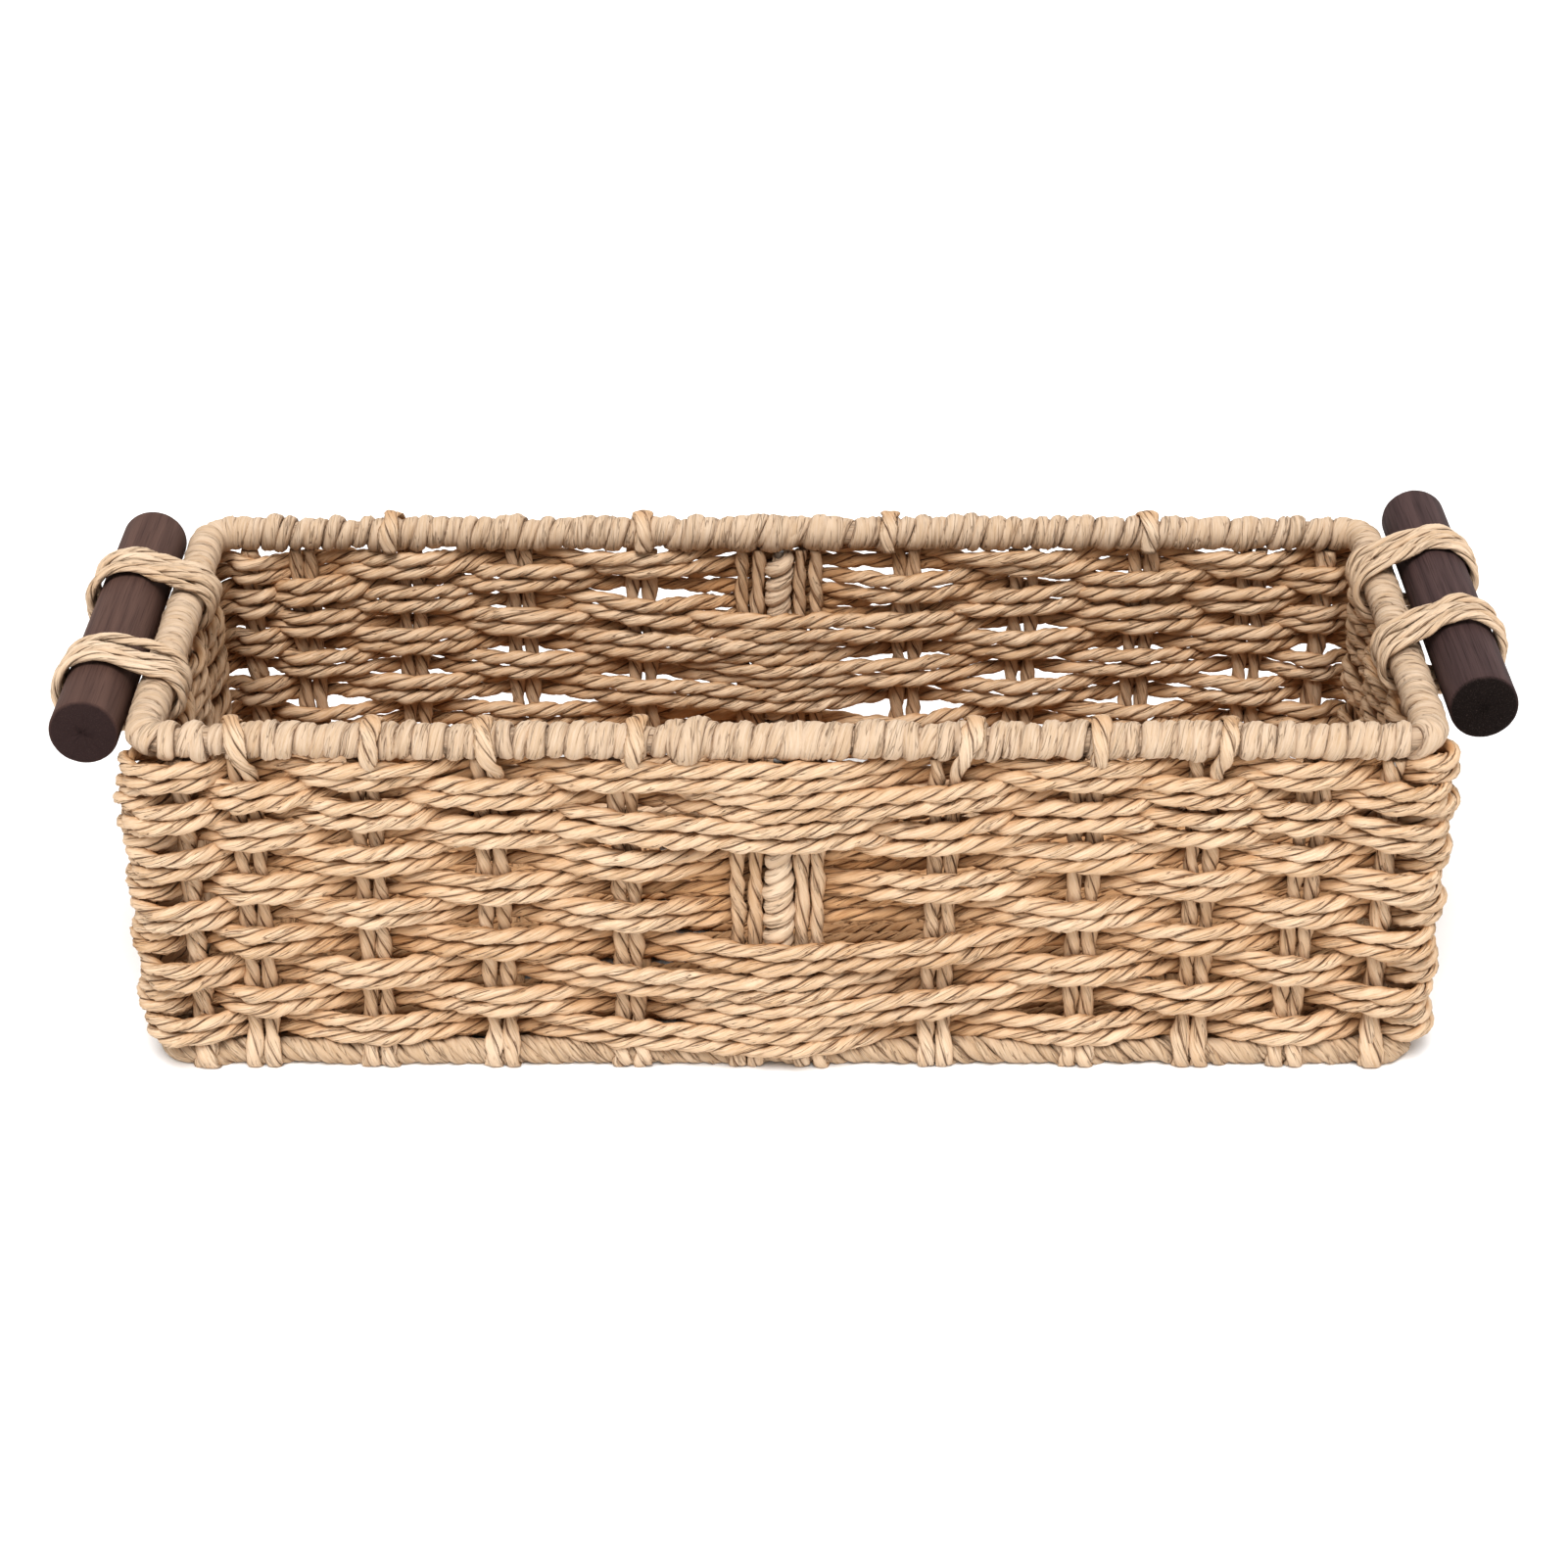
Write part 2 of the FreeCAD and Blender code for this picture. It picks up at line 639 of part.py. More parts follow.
# ------------------------------------------------------------------ handles
def lashing_outline(sketch, rim_radius, dowel_radius, expressions):
    """The belt line round the rim and the handle beside it."""
    reach = dim("rim_wrap_diameter") / 2 + dim("dowel_rim_gap") + dim("dowel_diameter") / 2
    lean = math.acos((rim_radius - dowel_radius) / reach)
    first = sketch.GeometryCount

    def rim_point(angle):
        return (rim_radius * math.cos(angle), rim_radius * math.sin(angle))

    def dowel_point(angle):
        return (reach + dowel_radius * math.cos(angle), dowel_radius * math.sin(angle))

    sketch.addGeometry(arc((reach, 0.0), dowel_radius, -lean, lean), False)
    sketch.addGeometry(segment(dowel_point(lean), rim_point(lean)), False)
    sketch.addGeometry(arc((0.0, 0.0), rim_radius, lean, 2 * math.pi - lean), False)
    sketch.addGeometry(segment(rim_point(-lean), dowel_point(-lean)), False)
    close_with_tangents(sketch, [first, first + 1, first + 2, first + 3])
    sketch.addConstraint(Sketcher.Constraint("Coincident", first + 2, 3, -1, 1))
    sketch.addConstraint(Sketcher.Constraint("PointOnObject", first, 3, -1))
    bind(sketch, Sketcher.Constraint("DistanceX", -1, 1, first, 3, reach), DOWEL_REACH)
    rim_expression, dowel_expression = expressions
    bind(sketch, Sketcher.Constraint("Radius", first + 2, rim_radius), rim_expression)
    bind(sketch, Sketcher.Constraint("Radius", first, dowel_radius), dowel_expression)


def make_lashing(label, x, y, angle):
    """Turns of rope side by side, each round the rim and the handle together."""
    body = new_body(label)
    sketch = new_sketch(body, "XZ_Plane", "turn")
    rim_radius = dim("rim_wrap_diameter") / 2 + dim("loop_clearance")
    dowel_radius = dim("dowel_diameter") / 2 + dim("loop_clearance")
    rim_cell = f"{cell('rim_wrap_diameter')} / 2 + {cell('loop_clearance')}"
    dowel_cell = f"{cell('dowel_diameter')} / 2 + {cell('loop_clearance')}"
    lashing_outline(sketch, rim_radius, dowel_radius, (rim_cell, dowel_cell))
    thick = dim("loop_thickness")
    thick_cell = f"+ {cell('loop_thickness')}"
    outer_cells = (f"{rim_cell} {thick_cell}", f"{dowel_cell} {thick_cell}")
    lashing_outline(sketch, rim_radius + thick, dowel_radius + thick, outer_cells)
    band = pad(body, sketch, cell("loop_turn_width"), True)
    doc.recompute()
    rounded = body.newObject("PartDesign::Fillet", f"{label}_round")
    rounded.Base = (band, outer_edges(band.Shape))
    rounded.setExpression("Radius", cell("loop_edge_round"))
    doc.recompute()
    pattern = body.newObject("PartDesign::LinearPattern", f"{label}_turns")
    pattern.Originals = [band, rounded]
    plane = next(f for f in body.Origin.OriginFeatures if f.Role == "Y_Axis")
    pattern.Direction = (plane, [""])
    pattern.Occurrences = LOOP_TURNS
    pattern.setExpression("Length", f"{LOOP_TURNS - 1} * {cell('loop_turn_pitch')}")
    body.Tip = pattern
    turn(body, Vector(0, 1, 0), angle)
    place(body, x, f"{y} - {cell('loop_turn_pitch')} * {(LOOP_TURNS - 1) / 2}", RIM_Z)


def outer_edges(shape):
    """The edges along the outside of a turn, on both of its sides."""
    names = []
    for index, edge in enumerate(shape.Edges, 1):
        middle = edge.valueAt((edge.FirstParameter + edge.LastParameter) / 2)
        along_side = abs(edge.Vertexes[0].Y - edge.Vertexes[-1].Y) < 1e-6
        if along_side and distance_outside(middle) > dim("loop_thickness") / 2:
            names.append(f"Edge{index}")
    return names


def distance_outside(point):
    """How far a point is outside the belt line that touches the held pieces."""
    rim_radius = dim("rim_wrap_diameter") / 2 + dim("loop_clearance")
    dowel_radius = dim("dowel_diameter") / 2 + dim("loop_clearance")
    reach = dim("rim_wrap_diameter") / 2 + dim("dowel_rim_gap") + dim("dowel_diameter") / 2
    lean = math.acos((rim_radius - dowel_radius) / reach)
    from_rim = math.hypot(point.x, point.z) - rim_radius
    from_dowel = math.hypot(point.x - reach, point.z) - dowel_radius
    from_line = point.x * math.cos(lean) + abs(point.z) * math.sin(lean) - rim_radius
    return max(min(from_rim, from_dowel), from_line)


def make_dowel(label, x, y, z):
    """A round wooden stick lying along Y."""
    body = new_body(label)
    profile = sketch_circles(
        body, "XZ_Plane", "profile", 0.0, "0", (diameter_of("dowel_diameter"),)
    )
    stick = pad(body, profile, cell("dowel_length"), True)
    doc.recompute()
    ends = [
        f"Edge{index}"
        for index, edge in enumerate(stick.Shape.Edges, 1)
        if isinstance(edge.Curve, Part.Circle)
    ]
    chamfer = body.newObject("PartDesign::Chamfer", f"{label}_chamfer")
    chamfer.Base = (stick, ends)
    chamfer.setExpression("Size", cell("dowel_chamfer"))
    place(body, x, y, z)


for side, sign_x, turned in (("left", "-", "180 + "), ("right", "", "-")):
    rest_angle = cell(f"{side}_rest_angle")
    middle = cell(f"{side}_loops_shift")
    for end, sign_y in (("front", "-"), ("rear", "+")):
        make_lashing(
            f"{side}_{end}_lashing",
            f"{sign_x}({WALL_X})",
            f"{middle} {sign_y} {cell(f'{side}_loops_spacing')} / 2",
            f"{turned}{rest_angle}",
        )
    make_dowel(
        f"{side}_handle_dowel",
        f"{sign_x}({WALL_X} + {DOWEL_REACH} * cos({rest_angle} * 1 deg))",
        cell(f"{side}_dowel_shift"),
        f"{RIM_Z} + {DOWEL_REACH} * sin({rest_angle} * 1 deg)",
    )


# ------------------------------------------------------------------ checks and export
doc.recompute()
for item in doc.Objects:
    if "Invalid" in item.State or "Error" in item.State:
        raise RuntimeError(f"{item.Label} failed: {item.State}")
for part in subparts:
    if part.Shape.isNull() or not part.Shape.isValid():
        raise RuntimeError(f"{part.Label} has no valid shape")
    if not part.Shape.Solids:
        raise RuntimeError(f"{part.Label} has no solid")
for part in subparts:
    part.Shape.exportStep(os.path.join("parts", f"{part.Label}.step"))
    box = part.Shape.BoundBox
    print(
        f"{part.Label}: {len(part.Shape.Solids)} solids, {part.Shape.Volume:.0f} mm3,"
        f" x {box.XMin:.1f} {box.XMax:.1f} y {box.YMin:.1f} {box.YMax:.1f}"
        f" z {box.ZMin:.1f} {box.ZMax:.1f}"
    )
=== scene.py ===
import math

import bpy
import numpy as np
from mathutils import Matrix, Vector


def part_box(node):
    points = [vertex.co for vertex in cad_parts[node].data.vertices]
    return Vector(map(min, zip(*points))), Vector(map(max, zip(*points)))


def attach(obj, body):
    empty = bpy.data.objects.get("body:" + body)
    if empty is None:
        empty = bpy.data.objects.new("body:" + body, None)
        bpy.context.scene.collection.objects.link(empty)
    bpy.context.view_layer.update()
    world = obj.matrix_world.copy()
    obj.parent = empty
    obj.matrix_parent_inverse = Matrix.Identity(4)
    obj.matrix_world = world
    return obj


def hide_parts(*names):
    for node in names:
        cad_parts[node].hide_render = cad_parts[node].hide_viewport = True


# A hand-woven storage basket of twisted paper rope on a wire frame, with two wooden handles
# lashed alongside the short ends of its rim.  Lengths in this script are millimetres; piece()
# turns them into metres.  A place on a wall is given as (along, outward, height): the distance
# along the wall's middle plane, seen from outside from left to right, the distance outward from
# that plane, and the height.

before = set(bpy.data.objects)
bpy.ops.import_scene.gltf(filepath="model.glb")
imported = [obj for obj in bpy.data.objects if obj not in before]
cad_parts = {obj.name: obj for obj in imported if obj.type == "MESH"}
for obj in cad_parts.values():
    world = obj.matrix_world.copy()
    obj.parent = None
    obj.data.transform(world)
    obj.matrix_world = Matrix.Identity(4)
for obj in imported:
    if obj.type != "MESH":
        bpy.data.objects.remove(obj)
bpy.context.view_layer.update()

MM = 0.001
TAU = 2 * math.pi
UP = (0.0, 0.0, 1.0)
WOVEN = "woven_paper_rope"  # kinds of piece; the woven ones get the painted hollow shade
FLAT = "flat_paper_rope"


def box_mm(node):
    low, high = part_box(node)
    return np.array(low) / MM, np.array(high) / MM


# ---------- sizes from the frame
rim_low, rim_high = box_mm("rim_binding")
base_low, base_high = box_mm("base_binding")
RIM_RADIUS = (rim_high[2] - rim_low[2]) / 2
RIM_HEIGHT = (rim_high[2] + rim_low[2]) / 2
HALF_LENGTH = rim_high[0] - RIM_RADIUS
HALF_WIDTH = (rim_high[1] - rim_low[1]) / 2 - RIM_RADIUS
MIDDLE_Y = (rim_high[1] + rim_low[1]) / 2
BASE_RADIUS = base_high[0] - HALF_LENGTH
BASE_HEIGHT = base_high[2] - BASE_RADIUS
RING_CORNER = 8.0

ROPE_DIAMETER = 5.3
PLY_PERIOD = 21.0
STRANDS_PER_ROW = 2
ROWS = 11
STATION_STEP = 1.0
STAKE_THICKNESS = 2.8
WEAVE_CORNER = 9.0
CORNER_OFFSETS = (9.5, 4.0, 4.0, 9.5)  # from the front right corner, seen from above
CENTRE_WRAP_RADIUS = 3.7
WINDOW_ROWS = range(4, 8)  # rows behind the middle upright of a long wall, from the top

# Heights of the middle of each pair of ropes, from the top row down.
SIDE_HEIGHTS = (100.2, 92.8, 86.4, 79.6, 71.3, 62.6, 53.0, 43.6, 32.6, 23.6, 13.0)
CENTRE_HEIGHTS = (99.9, 90.2, 79.9, 76.5, 68.5, 60.3, 51.5, 37.8, 28.4, 18.9, 9.5)
END_HEIGHTS = (92.0, 85.7, 79.3, 72.6, 65.6, 58.0, 49.8, 41.2, 32.2, 23.0, 13.2)


# ---------- helpers
WANDER_CUT = 2.2  # how sharply waves shorter than the scale are taken out
TINY = 1e-9


def wander(rng, count, scale, step=STATION_STEP):
    """Smooth random numbers that return to their start; features are about scale long."""
    spectrum = np.fft.rfft(rng.normal(size=count))
    frequency = np.fft.rfftfreq(count, step)
    values = np.fft.irfft(spectrum * np.exp(-((frequency * scale * WANDER_CUT) ** 2)), count)
    return (values - values.mean()) / max(values.std(), TINY)


def wanders(rng, columns, count, scale, step):
    """Smooth random numbers in columns that do not depend on one another."""
    return np.stack([wander(rng, count, scale, step) for _ in range(columns)], 1)


def blur(values, sigma, step=STATION_STEP):
    """Gaussian smoothing along the last axis, which closes on itself."""
    count = values.shape[-1]
    frequency = np.fft.rfftfreq(count, step)
    response = np.exp(-2 * (math.pi * frequency * sigma) ** 2)
    return np.fft.irfft(np.fft.rfft(values, axis=-1) * response, count, axis=-1)


def smoothstep(edge_0, edge_1, value):
    t = np.clip((value - edge_0) / (edge_1 - edge_0), 0, 1)
    return t * t * (3 - 2 * t)


def unit(vectors):
    return vectors / np.maximum(np.linalg.norm(vectors, axis=-1, keepdims=True), TINY)


class Ring:
    """A rounded rectangle seen from above, followed from the left end of the front wall."""

    def __init__(self, corner):
        self.corner = corner
        self.straight_x = 2 * (HALF_LENGTH - corner)
        self.straight_y = 2 * (HALF_WIDTH - corner)
        self.arc = math.pi / 2 * corner
        lengths = (self.straight_x, self.arc, self.straight_y, self.arc) * 2
        self.starts = np.concatenate(([0], np.cumsum(lengths)))
        self.length = self.starts[-1]

    def at(self, along):
        """Points and outward directions, in X and Y, at places along the ring."""
        along = np.mod(np.asarray(along, float), self.length)
        span = np.clip(np.searchsorted(self.starts, along, side="right") - 1, 0, 7)
        past = along - self.starts[span]
        quarter = span // 2
        turn = (quarter + np.where(span % 2 == 1, past / self.arc, 0)) * math.pi / 2
        outward = np.stack((np.sin(turn), -np.cos(turn)), -1)
        forward = np.stack((np.cos(turn), np.sin(turn)), -1)
        inner_x = HALF_LENGTH - self.corner
        inner_y = HALF_WIDTH - self.corner
        corner_x = np.where((quarter == 0) | (quarter == 1), inner_x, -inner_x)
        corner_y = np.where((quarter == 1) | (quarter == 2), inner_y, -inner_y)
        left = np.where(quarter % 2 == 0, self.straight_x, self.straight_y) - past
        run = np.where(span % 2 == 0, left, 0)[..., None]
        centre = np.stack((corner_x, corner_y + MIDDLE_Y), -1)
        return centre + outward * self.corner - forward * run, outward

    def place(self, x, y):
        """The place along the ring of a point on one of its straight walls."""
        y = y - MIDDLE_Y
        reach_x = HALF_LENGTH - self.corner
        reach_y = HALF_WIDTH - self.corner
        if abs(y) / HALF_WIDTH > abs(x) / HALF_LENGTH:
            if y < 0:
                return self.starts[0] + x + reach_x
            return self.starts[4] + reach_x - x
        if x > 0:
            return self.starts[2] + y + reach_y
        return self.starts[6] + reach_y - y


wall = Ring(WEAVE_CORNER)
frame_ring = Ring(RING_CORNER)


def on_wall(ring, along, outward, height):
    """Points in space, and the outward directions there, from places on the walls."""
    point, direction = ring.at(along)
    flat = point + direction * np.asarray(outward)[..., None]
    height = np.broadcast_to(height, flat.shape[:-1])
    spatial = np.concatenate((flat, height[..., None]), -1)
    return spatial, np.concatenate((direction, np.zeros_like(height)[..., None]), -1)


# Painted shade in the hollows of the weave: an even share for the floor's ropes, and the offsets in a
# wall at which it is full and at which it is gone.
FLOOR_PAINTED_SHADE = 0.9
SHADE_FULL_AT = -2.5  # outward from the wall's middle plane
SHADE_GONE_AT = 4.0


def painted_hollow_shade_in_wall(points, normals):
    """Painted shade for the hollows of the weave: one where a surface lies deep in the weave, zero
    where it is the outermost one.
    """
    from_middle = points[:, :2] - (0.0, MIDDLE_Y)
    straight = np.array((HALF_LENGTH, HALF_WIDTH)) - RING_CORNER
    beyond = np.abs(from_middle) - straight
    round_part = np.maximum(beyond, 0.0)
    flat_part = np.minimum(beyond.max(1), 0.0)
    outward_by = np.linalg.norm(round_part, axis=1) + flat_part - RING_CORNER
    on_end = beyond[:, :1] > beyond[:, 1:]
    nearest = np.where(on_end, (1.0, 0.0), (0.0, 1.0))
    in_corner = (beyond.min(1) > 0)[:, None]
    direction = np.where(in_corner, unit(round_part + 1e-6), nearest) * np.sign(from_middle)
    facing = (normals[:, :2] * direction).sum(1)
    return 1 - smoothstep(SHADE_FULL_AT, SHADE_GONE_AT, facing * outward_by)


# ---------- strands as meshes
class Bundle:
    """Vertices, faces and their shading values, gathered strand by strand."""

    def __init__(self):
        self.points = []
        self.faces = []
        self.fibre = []
        self.groove_shade_and_end_grain = []
        self.tint = []
        self.count = 0

    def add(self, grid, fibre, groove_shade_and_end_grain, tint, closed):
        """A tube whose rings are the rows of the grid, closed on itself or capped."""
        rings, sides = grid.shape[:2]
        index = np.arange(rings * sides).reshape(rings, sides) + self.count
        here = index if closed else index[:-1]
        after = np.roll(index, -1, 0) if closed else index[1:]
        quads = (here, after, np.roll(after, -1, 1), np.roll(here, -1, 1))
        self.faces.extend(np.stack(quads, -1).reshape(-1, 4).tolist())
        if not closed:
            self.faces.append(index[0].tolist())
            self.faces.append(index[-1, ::-1].tolist())
        self.points.append(grid.reshape(-1, 3))
        self.fibre.append(fibre.reshape(-1, 3))
        self.groove_shade_and_end_grain.append(groove_shade_and_end_grain.reshape(-1))
        self.tint.append(np.broadcast_to(tint, grid.shape[:2]).reshape(-1))
        self.count += rings * sides

    def piece(self, name, material, slot, *nodes, body="basket"):
        """Makes the Blender object, attaches it to its body and hides the frame's parts that it stands
        for.
        """
        points = np.concatenate(self.points)
        points[:, 2] = np.maximum(points[:, 2], 0.0)
        mesh = bpy.data.meshes.new(name)
        mesh.from_pydata((points * MM).tolist(), [], self.faces)
        add_attribute(mesh, "fibre", np.concatenate(self.fibre))
        # Painted groove shade on paper, share of end grain on wood.
        add_attribute(mesh, "groove_shade_and_end_grain", np.concatenate(self.groove_shade_and_end_grain))
        add_attribute(mesh, "tint", np.concatenate(self.tint))
        # Painted shade in the hollows of the weave: even on the floor, and by how deep each surface
        # lies in the walls.
        if name.startswith("floor"):
            add_attribute(mesh, "painted_hollow_shade", np.full(len(points), FLOOR_PAINTED_SHADE))
        elif slot == WOVEN:
            normals = np.empty(points.size, np.float32)
            mesh.vertex_normals.foreach_get("vector", normals)
            add_attribute(mesh, "painted_hollow_shade", painted_hollow_shade_in_wall(points, normals.reshape(-1, 3)))
        mesh.shade_smooth()
        mesh.materials.append(material)
        made = new_object(name, mesh)
        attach(made, body)
        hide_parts(*nodes)


def new_object(name, data):
    made = bpy.data.objects.new(name, data)
    bpy.context.scene.collection.objects.link(made)
    return made


def add_attribute(mesh, name, values):
    kind = "FLOAT_VECTOR" if values.ndim == 2 else "FLOAT"
    attribute = mesh.attributes.new(name, kind, "POINT")
    field = "vector" if values.ndim == 2 else "value"
    attribute.data.foreach_set(field, values.astype(np.float32).ravel())


def there_and_back(along, length, closed):
    """A distance that has no jump where a closed strand meets its start."""
    return np.abs(along - length / 2) if closed else along


def distances(path, closed):
    """The distance along the path at each of its points, and its whole length."""
    following = np.roll(path, -1, 0) if closed else path[1:]
    steps = np.linalg.norm(following - path[: len(following)], axis=-1)
    along = np.concatenate(([0], np.cumsum(steps)))
    return along[: len(path)], along[-1]


def strand_frame(path, outward, closed):
    """Directions outward and across the strand at each point of its path."""
    if closed:
        tangent = unit(np.roll(path, -1, 0) - np.roll(path, 1, 0))
    else:
        tangent = unit(np.gradient(path, axis=0))
    side = unit(outward - (outward * tangent).sum(-1, keepdims=True) * tangent)
    return side, np.cross(side, tangent)


def tube(path, side, across, thick, wide):
    """Rings of points about a path, from distances along its two directions."""
    return path[:, None] + thick[..., None] * side[:, None] + wide[..., None] * across[:, None]


GROOVE_SIDES = np.radians((0, 6, 15, 30, 50, 70, 90, 110, 130, 150, 165, 174))
GROOVE_WIDTH = math.radians(7)
GROOVE_DEPTH = 0.11  # share of the radius
PLY_OFFSET = 0.30  # middle of a ply from the middle of the rope, share of the radius
CREASE_DEPTH = 0.055  # share of the radius
CREASE_TWIST = 0.35  # how much of the rope's twist the creases of a ply follow
FIBRE_SPREAD = 1000.0  # keeps the fibres of different strands apart
PLY_SPREAD = 300.0  # and those of the two plies of a rope
TWIST_UNEVEN = 0.35  # radians
ROPE_LUMPS = 0.065  # share of the radius
ROUND = (1.0, 1.0)


def add_rope(
    bundle, path, outward, diameter, rng, closed, period=PLY_PERIOD, lumps=ROPE_LUMPS, shape=ROUND
):
    """A rope of two twisted plies along a path; the lay rises to the right, seen from outside.

    The shape is the rope's thickness and width as shares of its diameter.
    """
    side, across = strand_frame(path, outward, closed)
    along, length = distances(path, closed)
    count = len(path)
    step = length / count
    turns = max(1, round(length / period))
    twist = TAU * turns * along / length + rng.uniform(0, TAU)
    twist = twist + TWIST_UNEVEN * wander(rng, count, 14, step)
    around = np.concatenate((GROOVE_SIDES, GROOVE_SIDES + math.pi))
    ply = np.repeat((0, 1), len(GROOVE_SIDES))
    radius = np.broadcast_to(diameter / 2, (count,))[:, None]
    swell = 1 + lumps * wanders(rng, 2, count, 5, step)[:, ply]
    offset = PLY_OFFSET * np.abs(np.sin(around))
    hollow = np.sqrt((1 - PLY_OFFSET) ** 2 - (PLY_OFFSET * np.cos(around)) ** 2)
    from_groove = (around + math.pi / 2) % math.pi - math.pi / 2
    groove_shade_and_end_grain = np.exp(-((from_groove / GROOVE_WIDTH) ** 2))
    section = (offset + hollow)[None] * swell - GROOVE_DEPTH * groove_shade_and_end_grain
    creases = wanders(rng, len(around), count, 5, step)
    section = radius * (section + CREASE_DEPTH * creases * (1 - groove_shade_and_end_grain))
    angle = twist[:, None] + around[None]
    thick, wide = (np.broadcast_to(share, (count,))[:, None] for share in shape)
    thick = thick * section * np.cos(angle)
    wide = wide * section * np.sin(angle)
    drift = round(CREASE_TWIST * turns) / turns if closed else CREASE_TWIST
    crease_angle = around[None] + drift * twist[:, None]
    start = rng.uniform(0, FIBRE_SPREAD) + there_and_back(along, length, closed)
    fibre_run = start[:, None] + PLY_SPREAD * ply[None]
    fibre = (radius * np.cos(crease_angle), radius * np.sin(crease_angle), fibre_run)
    # Painted shade along the grooves between the plies.
    ply_groove_shade = np.broadcast_to(groove_shade_and_end_grain[None], angle.shape)
    tone = 0.5 * rng.normal() + 0.5 * wanders(rng, 2, count, 9, step)[:, ply]
    grid = tube(path, side, across, thick, wide)
    bundle.add(grid, np.stack(fibre, -1), ply_groove_shade, tone, closed)


STRIP_TOP = np.linspace(-0.93, 0.93, 10)
STRIP_BOTTOM = np.linspace(0.8, -0.8, 5)
STRIP_BULGE = 2.1
STRIP_SKEW = 0.22  # how far the creases run across the strand for each millimetre along it
FOLD_WIDTH = 0.13  # share of the half width
FOLD_DEPTH = 0.3  # share of the half thickness


def add_strip(bundle, path, outward, half_width, half_thickness, rng, closed, folds=1, wear=0.1):
    """A soft folded strand along a path, its broad face towards the outward direction."""
    side, across = strand_frame(path, outward, closed)
    along, length = distances(path, closed)
    count = len(path)
    step = length / count
    x = np.concatenate((STRIP_TOP, [1.0], STRIP_BOTTOM, [-1.0]))
    height = (1 - np.abs(x) ** STRIP_BULGE) ** (1 / STRIP_BULGE)
    height[len(STRIP_TOP) + 1 : -1] *= -1
    is_top = np.zeros(len(x))
    is_top[: len(STRIP_TOP)] = 1
    half_thickness = np.broadcast_to(half_thickness, (count,))
    width = half_width * (1 + 0.05 * wander(rng, count, 7, step))
    thick = half_thickness[:, None] * height[None]
    creases = wanders(rng, len(x), count, 6, step)
    thick = thick + wear * creases * np.sign(height)[None]
    fold = np.zeros((count, len(x)))
    for _ in range(folds):
        middle = rng.uniform(-0.6, 0.6) + 0.25 * wander(rng, count, 12, step)
        strength = np.clip(0.6 + 0.5 * wander(rng, count, 9, step), 0, 1)
        near = np.exp(-(((x[None] - middle[:, None]) / FOLD_WIDTH) ** 2)) * is_top[None]
        fold = np.maximum(fold, near * strength[:, None])
    thick = thick - FOLD_DEPTH * half_thickness[:, None] * fold
    spread = width[:, None] * x[None]
    grid = tube(path, side, across, thick, spread)
    run = there_and_back(along, length, closed)[:, None]
    start = rng.uniform(0, FIBRE_SPREAD) + run + np.zeros_like(spread)
    fibre = np.stack((spread - STRIP_SKEW * run, thick, start), -1)
    # Painted shade at the strand's edges and along its folds.
    edge = smoothstep(0.88, 1.0, np.abs(x))[None] * np.ones((count, 1))
    groove_shade_and_end_grain = np.maximum(edge * 0.6, fold * 0.5)
    tone = 0.6 * rng.normal() + 0.4 * wander(rng, count, 15, step)[:, None]
    bundle.add(grid, fibre, groove_shade_and_end_grain, tone, closed)


def blend(t, start, end, first, last):
    """The first at the start and the last at the end."""
    return (end - t) / (end - start) * first + (t - start) / (end - start) * last


def curve_through(points, step):
    """A smooth open path through points that are joined by a centripetal Catmull-Rom curve."""
    points = np.asarray(points, float)
    first = 2 * points[0] - points[1]
    last = 2 * points[-1] - points[-2]
    padded = np.vstack((first, points, last))
    found = []
    for index in range(1, len(padded) - 2):
        a, b, c, d = padded[index - 1 : index + 3]
        gaps = [np.linalg.norm(q - p) ** 0.5 for p, q in ((a, b), (b, c), (c, d))]
        t0, t1 = 0.0, gaps[0]
        t2 = t1 + gaps[1]
        t3 = t2 + gaps[2]
        pieces = max(2, math.ceil(np.linalg.norm(c - b) / step))
        t = np.linspace(t1, t2, pieces, endpoint=False)[:, None]
        bc = blend(t, t1, t2, b, c)
        abc = blend(t, t0, t2, blend(t, t0, t1, a, b), bc)
        bcd = blend(t, t1, t3, bc, blend(t, t2, t3, c, d))
        found.append(blend(t, t1, t2, abc, bcd))
    found.append(points[-1:])
    return np.concatenate(found)


# ---------- materials
def feed(socket, value):
    """Links a socket to another one, or gives it a constant value."""
    if isinstance(value, bpy.types.NodeSocket):
        socket.id_data.links.new(value, socket)
    else:
        socket.default_value = value


def new_material(name):
    material = bpy.data.materials.new(name)
    material.use_nodes = True
    tree = material.node_tree
    tree.nodes.clear()
    output = tree.nodes.new("ShaderNodeOutputMaterial")
    shader = tree.nodes.new("ShaderNodeBsdfPrincipled")
    feed(output.inputs["Surface"], shader.outputs["BSDF"])
    return material, tree, shader


def stored(tree, name, output="Fac"):
    """The values that the mesh carries under a name."""
    node = tree.nodes.new("ShaderNodeAttribute")
    node.attribute_name = name
    return node.outputs[output]


def multiply_node(tree, vector, factors):
    node = tree.nodes.new("ShaderNodeVectorMath")
    node.operation = "MULTIPLY"
    feed(node.inputs[0], vector)
    feed(node.inputs[1], factors)
    return node.outputs[0]


def noise_node(tree, vector, scale, detail=3.0, roughness=0.55):
    """Noise over a vector that is first multiplied by a scale for each of its axes."""
    noise = tree.nodes.new("ShaderNodeTexNoise")
    feed(noise.inputs["Vector"], multiply_node(tree, vector, scale))
    feed(noise.inputs["Scale"], 1.0)
    feed(noise.inputs["Detail"], detail)
    feed(noise.inputs["Roughness"], roughness)
    return noise.outputs["Fac"]


